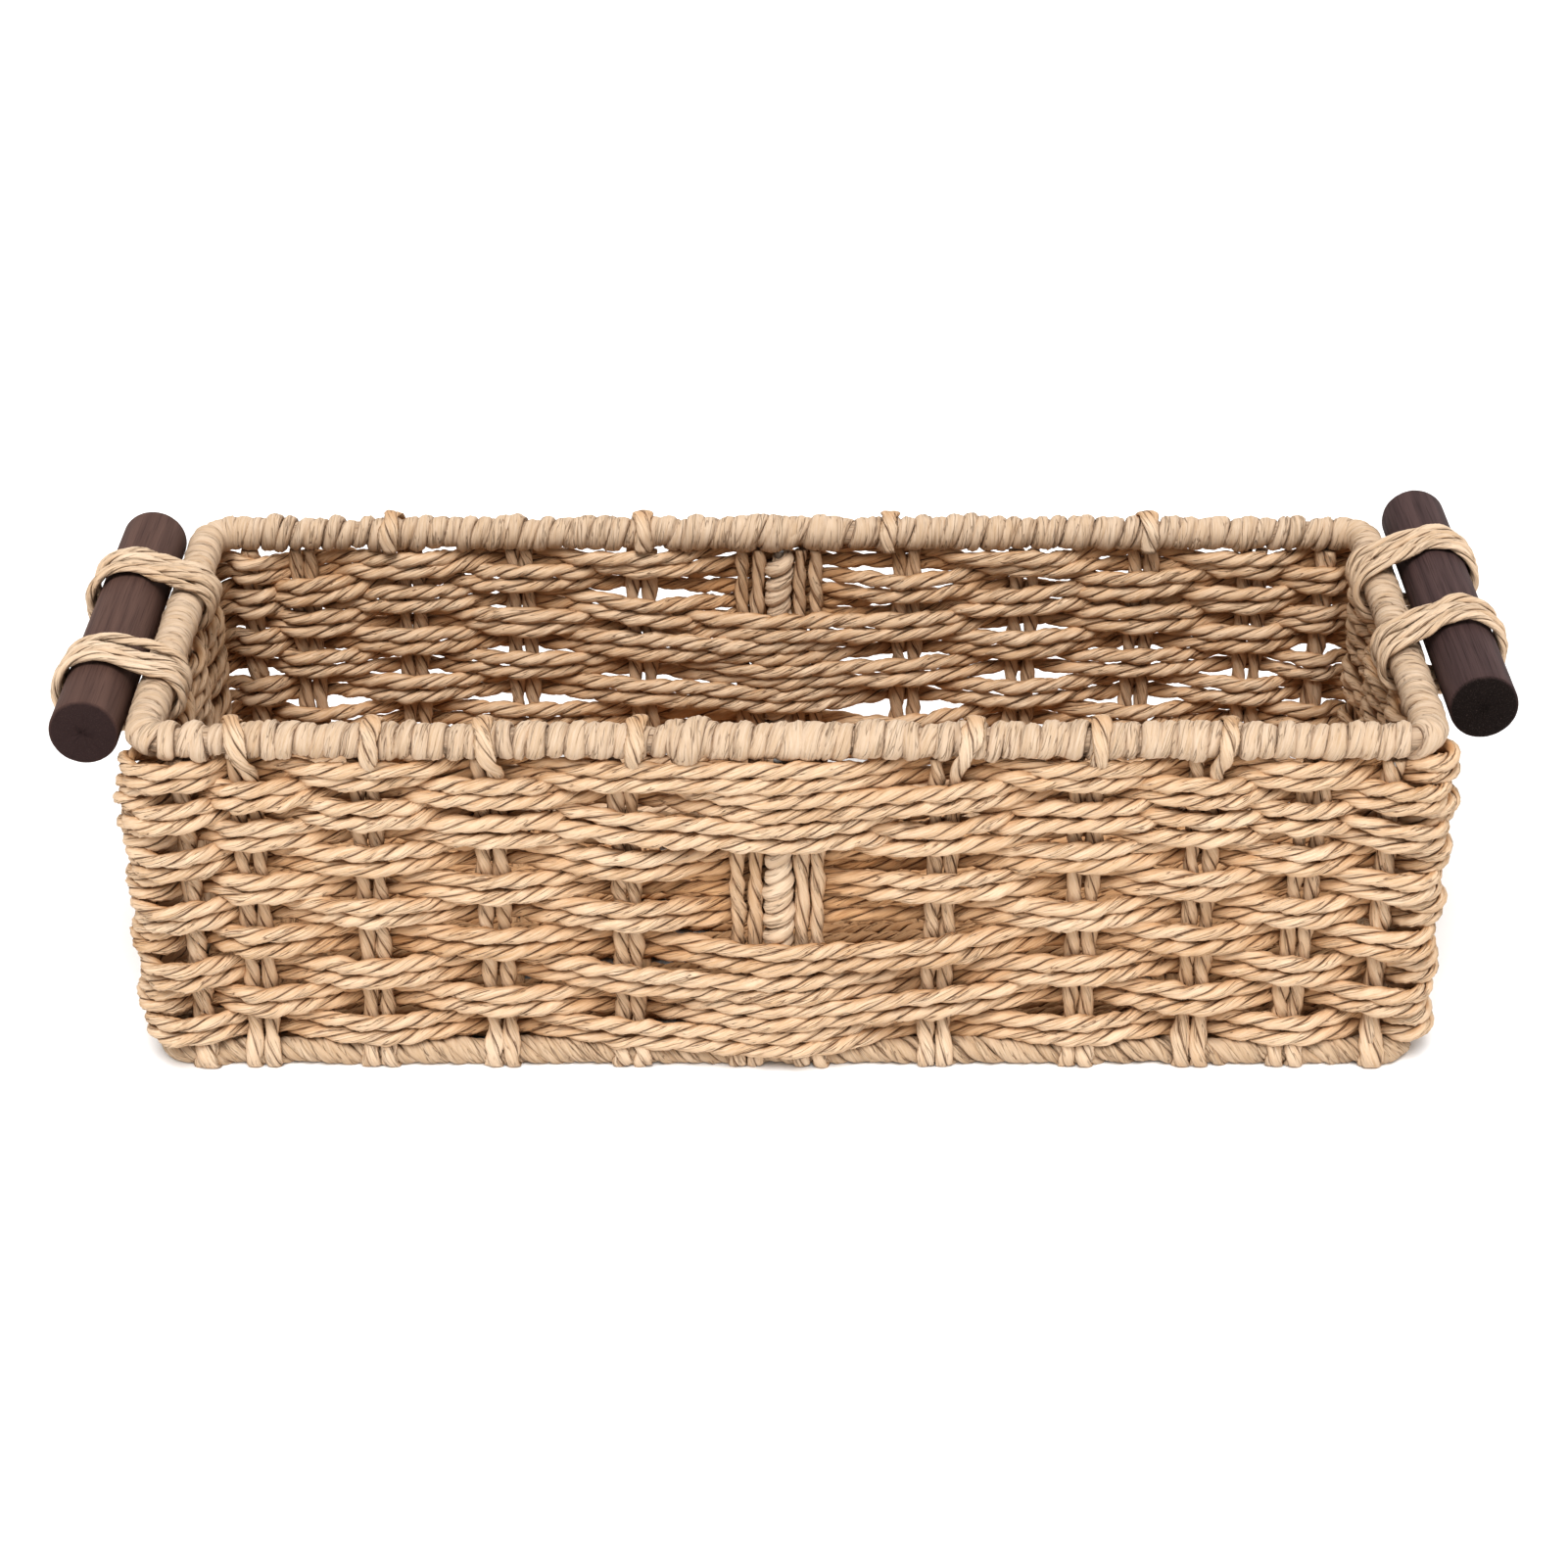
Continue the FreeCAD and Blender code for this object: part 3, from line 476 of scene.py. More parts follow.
def ramp_node(tree, value, stops):
    """A grey ramp with the given (position, level) stops."""
    ramp = tree.nodes.new("ShaderNodeValToRGB")
    elements = ramp.color_ramp.elements
    while len(elements) < len(stops):
        elements.new(0.5)
    for element, (position, level) in zip(elements, stops):
        element.position = position
        element.color = (level, level, level, 1)
    feed(ramp.inputs["Fac"], value)
    return ramp.outputs["Color"]


def math_node(tree, operation, *values, clamp=False):
    node = tree.nodes.new("ShaderNodeMath")
    node.operation = operation
    node.use_clamp = clamp
    for socket, value in zip(node.inputs, values):
        feed(socket, value)
    return node.outputs[0]


def mix_node(tree, factor, first, second):
    """Mixes two colours; each is a socket or a linear RGB triple."""
    node = tree.nodes.new("ShaderNodeMix")
    node.data_type = "RGBA"
    feed(node.inputs[0], factor)
    colour_sockets = [s for s in node.inputs if s.type == "RGBA"]
    for socket, value in zip(colour_sockets, (first, second)):
        feed(socket, (*value, 1) if isinstance(value, tuple) else value)
    return [s for s in node.outputs if s.type == "RGBA"][0]


def times(tree, first, second):
    return math_node(tree, "MULTIPLY", first, second)


def set_surface(shader, colour, roughness, specular):
    feed(shader.inputs["Base Color"], colour)
    feed(shader.inputs["Roughness"], roughness)
    feed(shader.inputs["Specular IOR Level"], specular)


def bump_node(tree, height, strength, distance, shader):
    bump = tree.nodes.new("ShaderNodeBump")
    feed(bump.inputs["Strength"], strength)
    feed(bump.inputs["Distance"], distance * MM)
    feed(bump.inputs["Height"], height)
    feed(shader.inputs["Normal"], bump.outputs["Normal"])


PAINTED_HOLLOW_SHADE = (0.8, 0.64, 0.48)  # painted shade for the hollows of the weave: less of the light reaches them, and it is warmer
# Painted shade for the creases and grooves of the paper.
PAINTED_GROOVE_SHADE = (0.085, 0.022, 0.004)  # linear colours, here and below


def paper_material(name, pale, deep, crease_shade_strength):
    """Twisted or folded kraft paper: fine lengthwise creases; painted shade makes the creases, the
    grooves and the hollows of the weave dark.
    """
    material, tree, shader = new_material(name)
    fibre = stored(tree, "fibre", "Vector")
    groove_shade_and_end_grain = stored(tree, "groove_shade_and_end_grain")
    tint = stored(tree, "tint")
    fine = noise_node(tree, fibre, (1.7, 1.7, 0.15), detail=4.0, roughness=0.62)
    broad = noise_node(tree, fibre, (0.55, 0.55, 0.06), detail=2.0)
    thread = noise_node(tree, fibre, (0.95, 0.95, 0.09), detail=1.0)
    crease = ramp_node(tree, thread, ((0.465, 0.0), (0.5, 1.0), (0.535, 0.0)))
    patch = ramp_node(tree, broad, ((0.44, 0.0), (0.58, 1.0)))
    crease = times(tree, crease, patch)
    shade = math_node(tree, "MULTIPLY_ADD", tint, 0.12, 0.62)
    shade = math_node(tree, "MULTIPLY_ADD", fine, 1.5, math_node(tree, "SUBTRACT", shade, 0.75))
    colour = mix_node(tree, shade, deep, pale)
    # Painted shade in the creases.
    colour = mix_node(tree, times(tree, crease, crease_shade_strength), colour, PAINTED_GROOVE_SHADE)
    # Painted shade in the grooves, at the edges and folds of strips and on the cores.
    line = math_node(tree, "MULTIPLY", groove_shade_and_end_grain, 1.0, clamp=True)
    uneven = math_node(tree, "MULTIPLY_ADD", broad, 2.4, -0.4, clamp=True)
    colour = mix_node(tree, times(tree, line, uneven), colour, PAINTED_GROOVE_SHADE)
    # Painted shade: darker and warmer where a surface lies deep in the weave.
    painted_hollow_shade = stored(tree, "painted_hollow_shade")
    colour = mix_node(tree, painted_hollow_shade, colour, multiply_node(tree, colour, PAINTED_HOLLOW_SHADE))
    set_surface(shader, colour, 0.75, 0.2)
    height = math_node(tree, "SUBTRACT", fine, times(tree, crease, 0.8))
    height = math_node(tree, "SUBTRACT", height, times(tree, groove_shade_and_end_grain, 0.7))
    bump_node(tree, height, 0.9, 0.45, shader)
    return material


def wood_material(name, face, streak, end, scratch):
    """Dark-stained wood: lengthwise grain on the side, rough end grain."""
    material, tree, shader = new_material(name)
    grain = stored(tree, "fibre", "Vector")
    is_end = stored(tree, "groove_shade_and_end_grain")
    broad = noise_node(tree, grain, (0.28, 0.28, 0.012), detail=3.0)
    fine = noise_node(tree, grain, (2.2, 2.2, 0.05), detail=4.0)
    dots = noise_node(tree, grain, (2.6, 2.6, 2.6), detail=4.0, roughness=0.7)
    level = ramp_node(tree, broad, ((0.35, 0.0), (0.65, 1.0)))
    colour = mix_node(tree, level, streak, face)
    pore = ramp_node(tree, fine, ((0.3, 1.0), (0.5, 0.0)))
    colour = mix_node(tree, times(tree, pore, 0.5), colour, end)
    speck = ramp_node(tree, dots, ((0.56, 0.0), (0.66, 1.0)))
    end_colour = mix_node(tree, times(tree, speck, 0.5), end, scratch)
    colour = mix_node(tree, is_end, colour, end_colour)
    set_surface(shader, colour, 0.8, 0.15)
    rough = times(tree, times(tree, dots, is_end), 3.0)
    height = math_node(tree, "ADD", fine, rough)
    bump_node(tree, height, 0.5, 0.15, shader)
    return material


def wire_material(name):
    """Galvanised wire with faint drawing marks."""
    material, tree, shader = new_material(name)
    place = tree.nodes.new("ShaderNodeTexCoord").outputs["Object"]
    cloud = noise_node(tree, place, (400.0, 400.0, 60.0))
    colour = mix_node(tree, cloud, (0.30, 0.29, 0.28), (0.52, 0.51, 0.49))
    set_surface(shader, colour, 0.42, 0.5)
    feed(shader.inputs["Metallic"], 1.0)
    bump_node(tree, cloud, 0.3, 0.05, shader)
    return material


rope_paper = paper_material("twisted_paper", (0.79, 0.61, 0.44), (0.48, 0.275, 0.13), 0.75)
flat_paper = paper_material("folded_paper", (0.74, 0.58, 0.43), (0.50, 0.32, 0.18), 0.5)
rim_paper = paper_material("wrapped_paper", (0.66, 0.52, 0.395), (0.46, 0.30, 0.17), 0.5)
base_paper = paper_material("worn_paper", (0.62, 0.475, 0.34), (0.40, 0.25, 0.135), 0.6)
wire = wire_material("galvanised_wire")
DARK_WOOD = {
    "left": {
        "face": (0.12, 0.07, 0.056),
        "streak": (0.087, 0.05, 0.041),
        "end": (0.034, 0.019, 0.018),
        "scratch": (0.08, 0.053, 0.045),
    },
    "right": {
        "face": (0.087, 0.053, 0.05),
        "streak": (0.058, 0.035, 0.034),
        "end": (0.009, 0.005, 0.004),
        "scratch": (0.09, 0.066, 0.06),
    },
}


# ---------- where the uprights stand
def stake_names():
    """The stakes in the order in which a rope passes them, from the front left corner."""
    return [
        "front_left_corner_stake",
        *[f"front_stake_{number}" for number in range(1, 9)],
        "front_right_corner_stake",
        *[f"right_end_stake_{number}" for number in range(1, 5)],
        "rear_right_corner_stake",
        *[f"rear_stake_{number}" for number in range(8, 0, -1)],
        "rear_left_corner_stake",
        *[f"left_end_stake_{number}" for number in range(4, 0, -1)],
    ]


def place_of(node):
    """The place along the walls of the middle of a node."""
    low, high = box_mm(node)
    middle = (low + high) / 2
    return wall.place(middle[0], middle[1])


STAKES = stake_names()
stake_places = [place_of(name) for name in STAKES]
centre_places = [place_of(f"{end}_centre_post") for end in ("front", "rear")]
lashing_places = [
    place_of(f"{side}_{end}_lashing")
    for side in ("left", "right")
    for end in ("front", "rear")
]


def goes_outside(row, order):
    """Whether a row passes outside the stake with that place in the order."""
    return (row + order) % 2 == 1


# ---------- how the ropes lie
stations = np.arange(round(wall.length / STATION_STEP)) * wall.length / round(wall.length)
station_points, station_outward = wall.at(stations)
STAKE_OFFSET = STAKE_THICKNESS / 2 + ROPE_DIAMETER / 2
CENTRE_OFFSET = CENTRE_WRAP_RADIUS + ROPE_DIAMETER / 2


def ring_distance(place):
    """How far each station is from a place along the ring, either way round."""
    apart = np.abs(stations - place) % wall.length
    return np.minimum(apart, wall.length - apart)


STAKE_FLAT = 2.5  # either side of a stake's middle, where a rope runs straight past it
CENTRE_FLAT = 5
CENTRE_REACH = 14


def row_offsets(row):
    """How far outward a row lies at each station, before the ropes push one another aside."""
    knots = []
    for order, place in enumerate(stake_places):
        offset = STAKE_OFFSET if goes_outside(row, order) else -STAKE_OFFSET
        knots.extend(((place - STAKE_FLAT, offset), (place + STAKE_FLAT, offset)))
    sign = -1 if row in WINDOW_ROWS else 1
    for place in centre_places:
        for way in (-1, 1):
            knots.append((place + way * CENTRE_REACH, sign * STAKE_OFFSET))
            knots.append((place + way * CENTRE_FLAT, sign * CENTRE_OFFSET))
    for index, corner in enumerate(CORNER_OFFSETS):
        middle = wall.starts[2 * index + 1] + wall.arc / 2
        knots.extend(((middle - 4, corner), (middle + 4, corner)))
    knots.sort()
    places, offsets = zip(*knots)
    plain = np.interp(stations, places, offsets, period=wall.length)
    return blur(plain, 3.0)


CENTRE_SPAN = (14, 88)  # from a middle upright, where the rows leave their heights there
END_SPAN = (46, 66)  # from the middle of an end wall, likewise
TOP_ROWS = 4  # these give way where something bears on the top row
DIP_PLACE = wall.place(-158, MIDDLE_Y + HALF_WIDTH)  # where the top rows lie low
DIP_LENGTH = 22.0
DIP_DEPTH = 5.5
PRESSED_DEPTH = 1.7  # of the top row, below the right handle's lashings, which swing low
PRESSED_SPAN = (12, 24)


def row_heights(row, rng):
    """The height of the middle of a row at each station."""
    side, centre, end = (h[row - 1] for h in (SIDE_HEIGHTS, CENTRE_HEIGHTS, END_HEIGHTS))
    near_centre = sum(1 - smoothstep(*CENTRE_SPAN, ring_distance(p)) for p in centre_places)
    near_end = 1 - smoothstep(*END_SPAN, np.abs(station_points[:, 1] - MIDDLE_Y))
    height = side + (centre - side) * near_centre
    height = height + (end - height) * near_end
    dip = np.exp(-((ring_distance(DIP_PLACE) / DIP_LENGTH) ** 2))
    gives_way = max(0.0, 1 - (row - 1) / TOP_ROWS)
    height = height - DIP_DEPTH * dip * gives_way
    pressed = sum(1 - smoothstep(*PRESSED_SPAN, ring_distance(p)) for p in lashing_places[2:])
    height = height - PRESSED_DEPTH * pressed * gives_way
    return height + 0.7 * wander(rng, len(stations), 60)


def rope_goals():
    """Where the strands would lie if they did not touch one another."""
    rng = np.random.default_rng(20)
    offset_goal, height_goal = [], []
    for row in range(1, ROWS + 1):
        offsets = row_offsets(row)
        heights = row_heights(row, rng)
        lean = 0.5 * wander(rng, len(stations), 40)
        gap = ROPE_DIAMETER / 2 * (0.98 + 0.04 * wander(rng, len(stations), 30))
        for sign in (1, -1):
            offset_goal.append(offsets + sign * lean * 0.5)
            height_goal.append(heights + sign * gap)
    return np.array(offset_goal), np.array(height_goal)


STRAND_PRESSED = 0.93  # distance of two touching strands, share of the diameter
UPRIGHT_PRESSED = 0.9  # distance from an upright's face, share of the radius
LASHED_HALF = 9.5  # half of the rim's length that a lashing takes up
LASHED_ROOM = 3.9
RELAX_ROUNDS = 160
STRANDS_TOUCHING = 7  # a strand is kept clear of fewer than this many on either side


def lay_ropes():
    """Offsets and heights of all strands, pushed apart where they would cross one another."""
    offset_goal, height_goal = rope_goals()
    offset, height = offset_goal.copy(), height_goal.copy()
    room = ROPE_DIAMETER * STRAND_PRESSED
    reach = ROPE_DIAMETER / 2 * UPRIGHT_PRESSED
    limits = upright_limits(reach)
    from_lashing = np.min([ring_distance(place) for place in lashing_places], 0)
    lashed = from_lashing < LASHED_HALF
    rim_reach = np.where(lashed, RIM_RADIUS + LASHED_ROOM, RIM_RADIUS) + reach
    for _ in range(RELAX_ROUNDS):
        offset += 0.10 * (offset_goal - offset)
        height += 0.06 * (height_goal - height)
        for apart in range(1, STRANDS_TOUCHING):
            push_apart(offset, height, apart, room)
        push_off(offset, height, RIM_HEIGHT, rim_reach)
        push_off(offset, height, BASE_HEIGHT, BASE_RADIUS + reach)
        offset[:] = blur(offset, 1.2)
        height[:] = blur(height, 2.2)
        for inside, outside in limits:
            offset[:] = np.clip(offset, inside, outside)
    return blur(offset, 1.3), blur(height, 1.3)


STAKE_HALF = 4.2  # half of the wall's length on which an upright keeps a strand to its side
CENTRE_HALF = 2.6


def upright_limits(reach):
    """For each upright, the least and greatest offset of each strand at each station."""
    limits = []
    for order, place in enumerate(stake_places):
        near = ring_distance(place) < STAKE_HALF
        limits.append(limits_at(near, STAKE_THICKNESS / 2 + reach, order))
    for place in centre_places:
        near = ring_distance(place) < CENTRE_HALF
        limits.append(limits_at(near, CENTRE_WRAP_RADIUS + reach, None))
    return limits


def limits_at(near, offset, order):
    """Limits where stations are near an upright; a middle upright has no place in the order."""
    rows = range(1, ROWS + 1)
    ways = [row not in WINDOW_ROWS if order is None else goes_outside(row, order) for row in rows]
    outside = np.repeat(ways, STRANDS_PER_ROW)[:, None]
    least = np.where(outside & near, offset, -np.inf)
    return least, np.where(~outside & near, -offset, np.inf)


def push_apart(offset, height, apart, room):
    """Moves overlapping strands, that many places from each other, half of the way apart."""
    across = offset[apart:] - offset[:-apart]
    rise = height[apart:] - height[:-apart]
    gap = np.hypot(across, rise)
    overlap = np.clip(room - gap, 0, None) * 0.25 / np.maximum(gap, 0.1)
    offset[apart:] += across * overlap
    height[apart:] += rise * overlap
    offset[:-apart] -= across * overlap
    height[:-apart] -= rise * overlap


def push_off(offset, height, middle, room):
    """Keeps the strands off a ring of wrapped wire in the wall's middle plane."""
    rise = height - middle
    gap = np.hypot(offset, rise)
    overlap = np.clip(room - gap, 0, None) / np.maximum(gap, 0.1)
    offset += offset * overlap * 0.5
    height += rise * overlap * 0.5


def make_weaver_rows():
    offset, height = lay_ropes()
    for row in range(1, ROWS + 1):
        rng = np.random.default_rng(100 + row)
        bundle = Bundle()
        for strand in range(STRANDS_PER_ROW):
            index = (row - 1) * STRANDS_PER_ROW + strand
            path, outward = on_wall(wall, stations, offset[index], height[index])
            period = PLY_PERIOD * rng.uniform(0.92, 1.08)
            diameter = ROPE_DIAMETER * rng.uniform(0.97, 1.03)
            add_rope(bundle, path, outward, diameter, rng, True, period)
        node = f"weaver_row_{row:02d}"
        bundle.piece(f"{node}_rope", rope_paper, WOVEN, node)


make_weaver_rows()


# ---------- uprights
STAKE_STEP = 1.3
STRAP_THICKNESS = 0.8
HOOKED = {
    # stake: shift of the strand that goes over the rim, to the right seen from outside
    "front_stake_1": -5.0,
    "front_stake_2": 1.0,
    "front_stake_3": -4.0,
    "front_stake_4": 2.0,
    "front_stake_5": 6.0,
    "front_stake_6": 1.5,
    "front_stake_7": 4.0,
    "rear_stake_2": 3.0,
    "rear_stake_4": -4.0,
    "rear_stake_5": 3.5,
    "rear_stake_7": -3.0,
}


def strap_profile(flare):
    """A strand from under the base ring, round its outside, up to the rim's underside."""
    out = BASE_RADIUS + STRAP_THICKNESS
    return [
        (flare, 1.0, 0.6),
        (flare, out * 0.72, BASE_HEIGHT - out * 0.62),
        (flare * 0.9, out, BASE_HEIGHT),
        (flare * 0.6, out * 0.8, BASE_HEIGHT + out * 0.66),
        (flare * 0.2, 1.6, BASE_HEIGHT + 8.0),
        *[(0.0, 0.0, height) for height in (BASE_HEIGHT + 14.0, 40.0, 70.0, 92.0)],
    ]


def hook_profile(shift):
    """The top of a strand that goes over the rim from outside and is tucked in behind."""
    out = RIM_RADIUS + 1.0
    return [
        (shift * 0.1, out * 0.45, RIM_HEIGHT - out * 1.1),
        (shift * 0.4, out * 0.95, RIM_HEIGHT - out * 0.4),
        (shift * 0.7, out * 0.9, RIM_HEIGHT + out * 0.45),
        (shift * 0.9, 0.0, RIM_HEIGHT + out),
        (shift, -out * 0.9, RIM_HEIGHT + out * 0.45),
        (shift, -out * 0.9, RIM_HEIGHT - out * 0.5),
    ]


def add_stake_strand(bundle, place, shift, lean, rng, half_width, half_thickness, hook):
    """One flat strand of a stake; lean is how far its top is to the right of its foot."""
    flare = shift * 0.12
    top = [(0.0, 0.0, RIM_HEIGHT - RIM_RADIUS + 0.5)] if hook is None else hook_profile(hook)
    points = np.array(strap_profile(flare) + top)
    sway = 0.25 * wander(rng, len(points), 2, 1.0)
    along = place + shift + points[:, 0] + sway + lean * (points[:, 2] / RIM_HEIGHT - 0.5)
    path = curve_through(np.stack((along, points[:, 1], points[:, 2]), 1), STAKE_STEP)
    spatial, outward = on_wall(wall, path[:, 0], path[:, 1], path[:, 2])
    tangent_out = np.gradient(path[:, 1])
    tangent_up = np.gradient(path[:, 2])
    facing = unit(np.stack((tangent_up, -tangent_out), 1))
    normal = outward * facing[:, :1] + np.array(UP) * facing[:, 1:]
    wide = 1 + 0.14 * (1 - smoothstep(6, 16, path[:, 2]))
    flat = 1 - 0.35 * (1 - smoothstep(7, 18, path[:, 2]))
    over_rim = smoothstep(RIM_HEIGHT - 8, RIM_HEIGHT - 2, path[:, 2])
    if hook is not None:
        flat = flat - 0.25 * over_rim
        wide = wide + 0.22 * over_rim
    diameter = 2 * half_width
    shape = (half_thickness / half_width * flat, wide)
    period = rng.uniform(19, 27)
    add_rope(bundle, spatial, normal, diameter, rng, False, period, 0.075, shape)


STAKE_STRAND = (2.5, 1.65)  # half width and half thickness
CORNER_STRAND = (2.5, 2.8)
CORNER_SHIFT = 0.9  # of a strand from the middle of its corner stake


def make_pair(name, rng, shift, lean, half_width, half_thickness):
    """The two strands of a stake, the right one hooked over the rim if the list says so."""
    bundle = Bundle()
    place = place_of(name)
    for way, hook in ((-shift, None), (shift, HOOKED.get(name))):
        add_stake_strand(bundle, place, way, lean, rng, half_width, half_thickness, hook)
    bundle.piece(f"{name}_strands", flat_paper, WOVEN, name)


def make_stakes():
    for number, name in enumerate(STAKES):
        rng = np.random.default_rng(300 + number)
        low, high = box_mm(name)
        lean = 0.8 * rng.normal() if name != "front_stake_8" else 3.6
        if "corner" in name:
            make_pair(name, rng, CORNER_SHIFT, lean, *CORNER_STRAND)
        else:
            make_pair(name, rng, max((high - low)[:2]) / 4 + 0.1, lean, *STAKE_STRAND)


def make_centre_stakes():
    """Beside the wrapped upright: a pair of strands to its left and a thicker pair to its right."""
    for number, end in enumerate(("front", "rear")):
        for order, (side, half_thickness) in enumerate((("left", 1.6), ("right", 2.1))):
            name = f"{end}_centre_stake_{side}"
            rng = np.random.default_rng(350 + 2 * number + order)
            low, high = box_mm(name)
            make_pair(name, rng, (high[0] - low[0]) / 4 + 0.1, 0.0, 2.35, half_thickness)


CENTRE_TURN_HALF = 2.5
CENTRE_TURN_PITCH = 5.2
CENTRE_TURN_HALF_THICKNESS = 1.8


def make_centre_bindings():
    """Chunky round turns stacked on the middle upright of each long wall, over a rope core."""
    for number, end in enumerate(("front", "rear")):
        node = f"{end}_centre_post_binding"
        rng = np.random.default_rng(380 + number)
        low, high = box_mm(node)
        middle = (low + high) / 2
        radius = CENTRE_WRAP_RADIUS - 1.1
        turns = (high[2] - low[2] - 2 * CENTRE_TURN_HALF) / CENTRE_TURN_PITCH
        steps = round(turns * 20)
        angle = np.linspace(0, TAU * turns, steps)
        height = low[2] + CENTRE_TURN_HALF + CENTRE_TURN_PITCH * angle / TAU
        height = height + 0.9 * np.cos(angle)
        height = height + 0.35 * wander(rng, steps, 9, 1.0)
        spread = radius + 0.35 * wander(rng, steps, 7, 1.0)
        around = np.stack((np.cos(angle), np.sin(angle), np.zeros(steps)), 1)
        path = around * spread[:, None] + middle
        path[:, 2] = height
        bundle = Bundle()
        half_thickness = CENTRE_TURN_HALF_THICKNESS
        add_strip(bundle, path, around, CENTRE_TURN_HALF, half_thickness, rng, False)
        rise = np.arange(low[2] + 1, high[2] - 1, 1.5)
        core = np.tile(middle, (len(rise), 1))
        core[:, 2] = rise
        facing = np.tile((0.0, 1.0, 0.0), (len(rise), 1))
        add_rope(bundle, core, facing, 2 * radius, rng, False)
        bundle.piece(f"{node}_wrap", flat_paper, FLAT, node)


make_stakes()
make_centre_stakes()
make_centre_bindings()


# ---------- wrapped rings
def wrap_path(along, angle, radius, height):
    """Points on a tube about a ring of the frame, and the directions out of the tube."""
    point, outward = frame_ring.at(along)
    out = np.concatenate((outward, np.zeros((len(along), 1))), 1)
    normal = out * np.cos(angle)[:, None] + np.array(UP) * np.sin(angle)[:, None]
    centre = np.concatenate((point, np.full((len(along), 1), height)), 1)
    return centre + normal * np.asarray(radius)[..., None], normal


def add_core(bundle, radius, height):
    """The paper underneath a wrapping, which closes the gaps between its turns."""
    sides = 16
    places = np.arange(0, frame_ring.length, 2.5)
    angle = np.linspace(0, TAU, sides, endpoint=False)
    shape = (len(places), sides)
    path, _ = wrap_path(np.repeat(places, sides), np.tile(angle, len(places)), radius, height)
    around = np.tile(radius * angle, (len(places), 1))
    fibre = np.stack((around, around, np.repeat(places[:, None], sides, 1)), -1)
    # The core carries a quarter share of the painted groove shade, as shade between the turns.
    bundle.add(path.reshape(*shape, 3), fibre, np.full(shape, 0.25), 0.0, True)


def corner_spread(along):
    """Zero on the straight sides of the rings and one in the middle of a corner."""
    _, outward = frame_ring.at(along)
    return 2 * np.abs(outward[:, 0] * outward[:, 1])


RIM_PITCH = 4.8
RIM_OUTSIDE = 5.45
RIM_RAISED = 0.4
RIM_HALF_THICKNESS = 1.55
FRONT, REAR = -1, 1
RIM_KNOTS = (
    # Y side, X of its middle, length along the rim, turns, lift, half width
    (FRONT, -27.0, 17.0, 2.2, 2.6, 3.3),
    (FRONT, 1.0, 18.0, 2.0, 1.1, 3.4),
    (FRONT, -52.0, 7.0, 1.2, 0.8, 3.0),
    (REAR, -86.0, 9.0, 1.4, 1.2, 3.2),
    (REAR, -8.0, 24.0, 2.6, 1.5, 3.4),
    (REAR, 6.0, 14.0, 1.6, 0.9, 3.2),
)


def make_rim_binding():
    """One soft strand wound round the rim, each turn beside the last, with a few knots."""
    rng = np.random.default_rng(500)
    turns = round(frame_ring.length / RIM_PITCH)
    steps = turns * 24
    pitch = frame_ring.length / turns
    step = 1.4
    angle = TAU * turns * np.arange(steps) / steps
    along = pitch * angle / TAU - 0.45 * np.sin(angle) + 0.65 * wander(rng, steps, 14, step)
    lumps = 1 - 0.7 * frame_ring.at(along)[1][:, 0] ** 2
    radius = RIM_OUTSIDE - RIM_HALF_THICKNESS + 0.4 * lumps * wander(rng, steps, 8, step)
    path, normal = wrap_path(along, angle, radius, RIM_HEIGHT + RIM_RAISED)
    width = pitch / 2 * (1.15 + 0.15 * wander(rng, steps, 25, step) + 0.4 * corner_spread(along))
    thick = RIM_HALF_THICKNESS * (1 + 0.14 * lumps * wander(rng, steps, 9, step))
    bundle = Bundle()
    add_core(bundle, RIM_OUTSIDE - 1.1 * RIM_HALF_THICKNESS, RIM_HEIGHT + RIM_RAISED)
    add_strip(bundle, path, normal, width, thick, rng, True)
    for knot in RIM_KNOTS:
        add_knot(bundle, rng, *knot)
    bundle.piece("rim_binding_wrap", rim_paper, FLAT, "rim_binding")


def add_knot(bundle, rng, side, x, length, turns, lift, half_width):
    """A loose strand wound over the others for a few turns, its two ends tucked in."""
    middle = frame_ring.place(x, MIDDLE_Y + side * HALF_WIDTH)
    steps = round(turns * 30)
    share = np.linspace(0, 1, steps)
    angle = TAU * turns * (share - 0.5)
    bulge = np.sin(math.pi * share) ** 0.6
    along = middle + length * (share - 0.5) + 0.6 * wander(rng, steps, 16, 1.2)
    radius = RIM_OUTSIDE - 2.2 * RIM_HALF_THICKNESS + (lift + 1.5) * bulge
    path, normal = wrap_path(along, angle, radius, RIM_HEIGHT + RIM_RAISED)
    add_strip(bundle, path, normal, half_width * (0.5 + 0.5 * bulge), 1.35, rng, False)


BASE_STARTS = 4
BASE_PITCH = 4.7
BASE_HALF_THICKNESS = 1.45


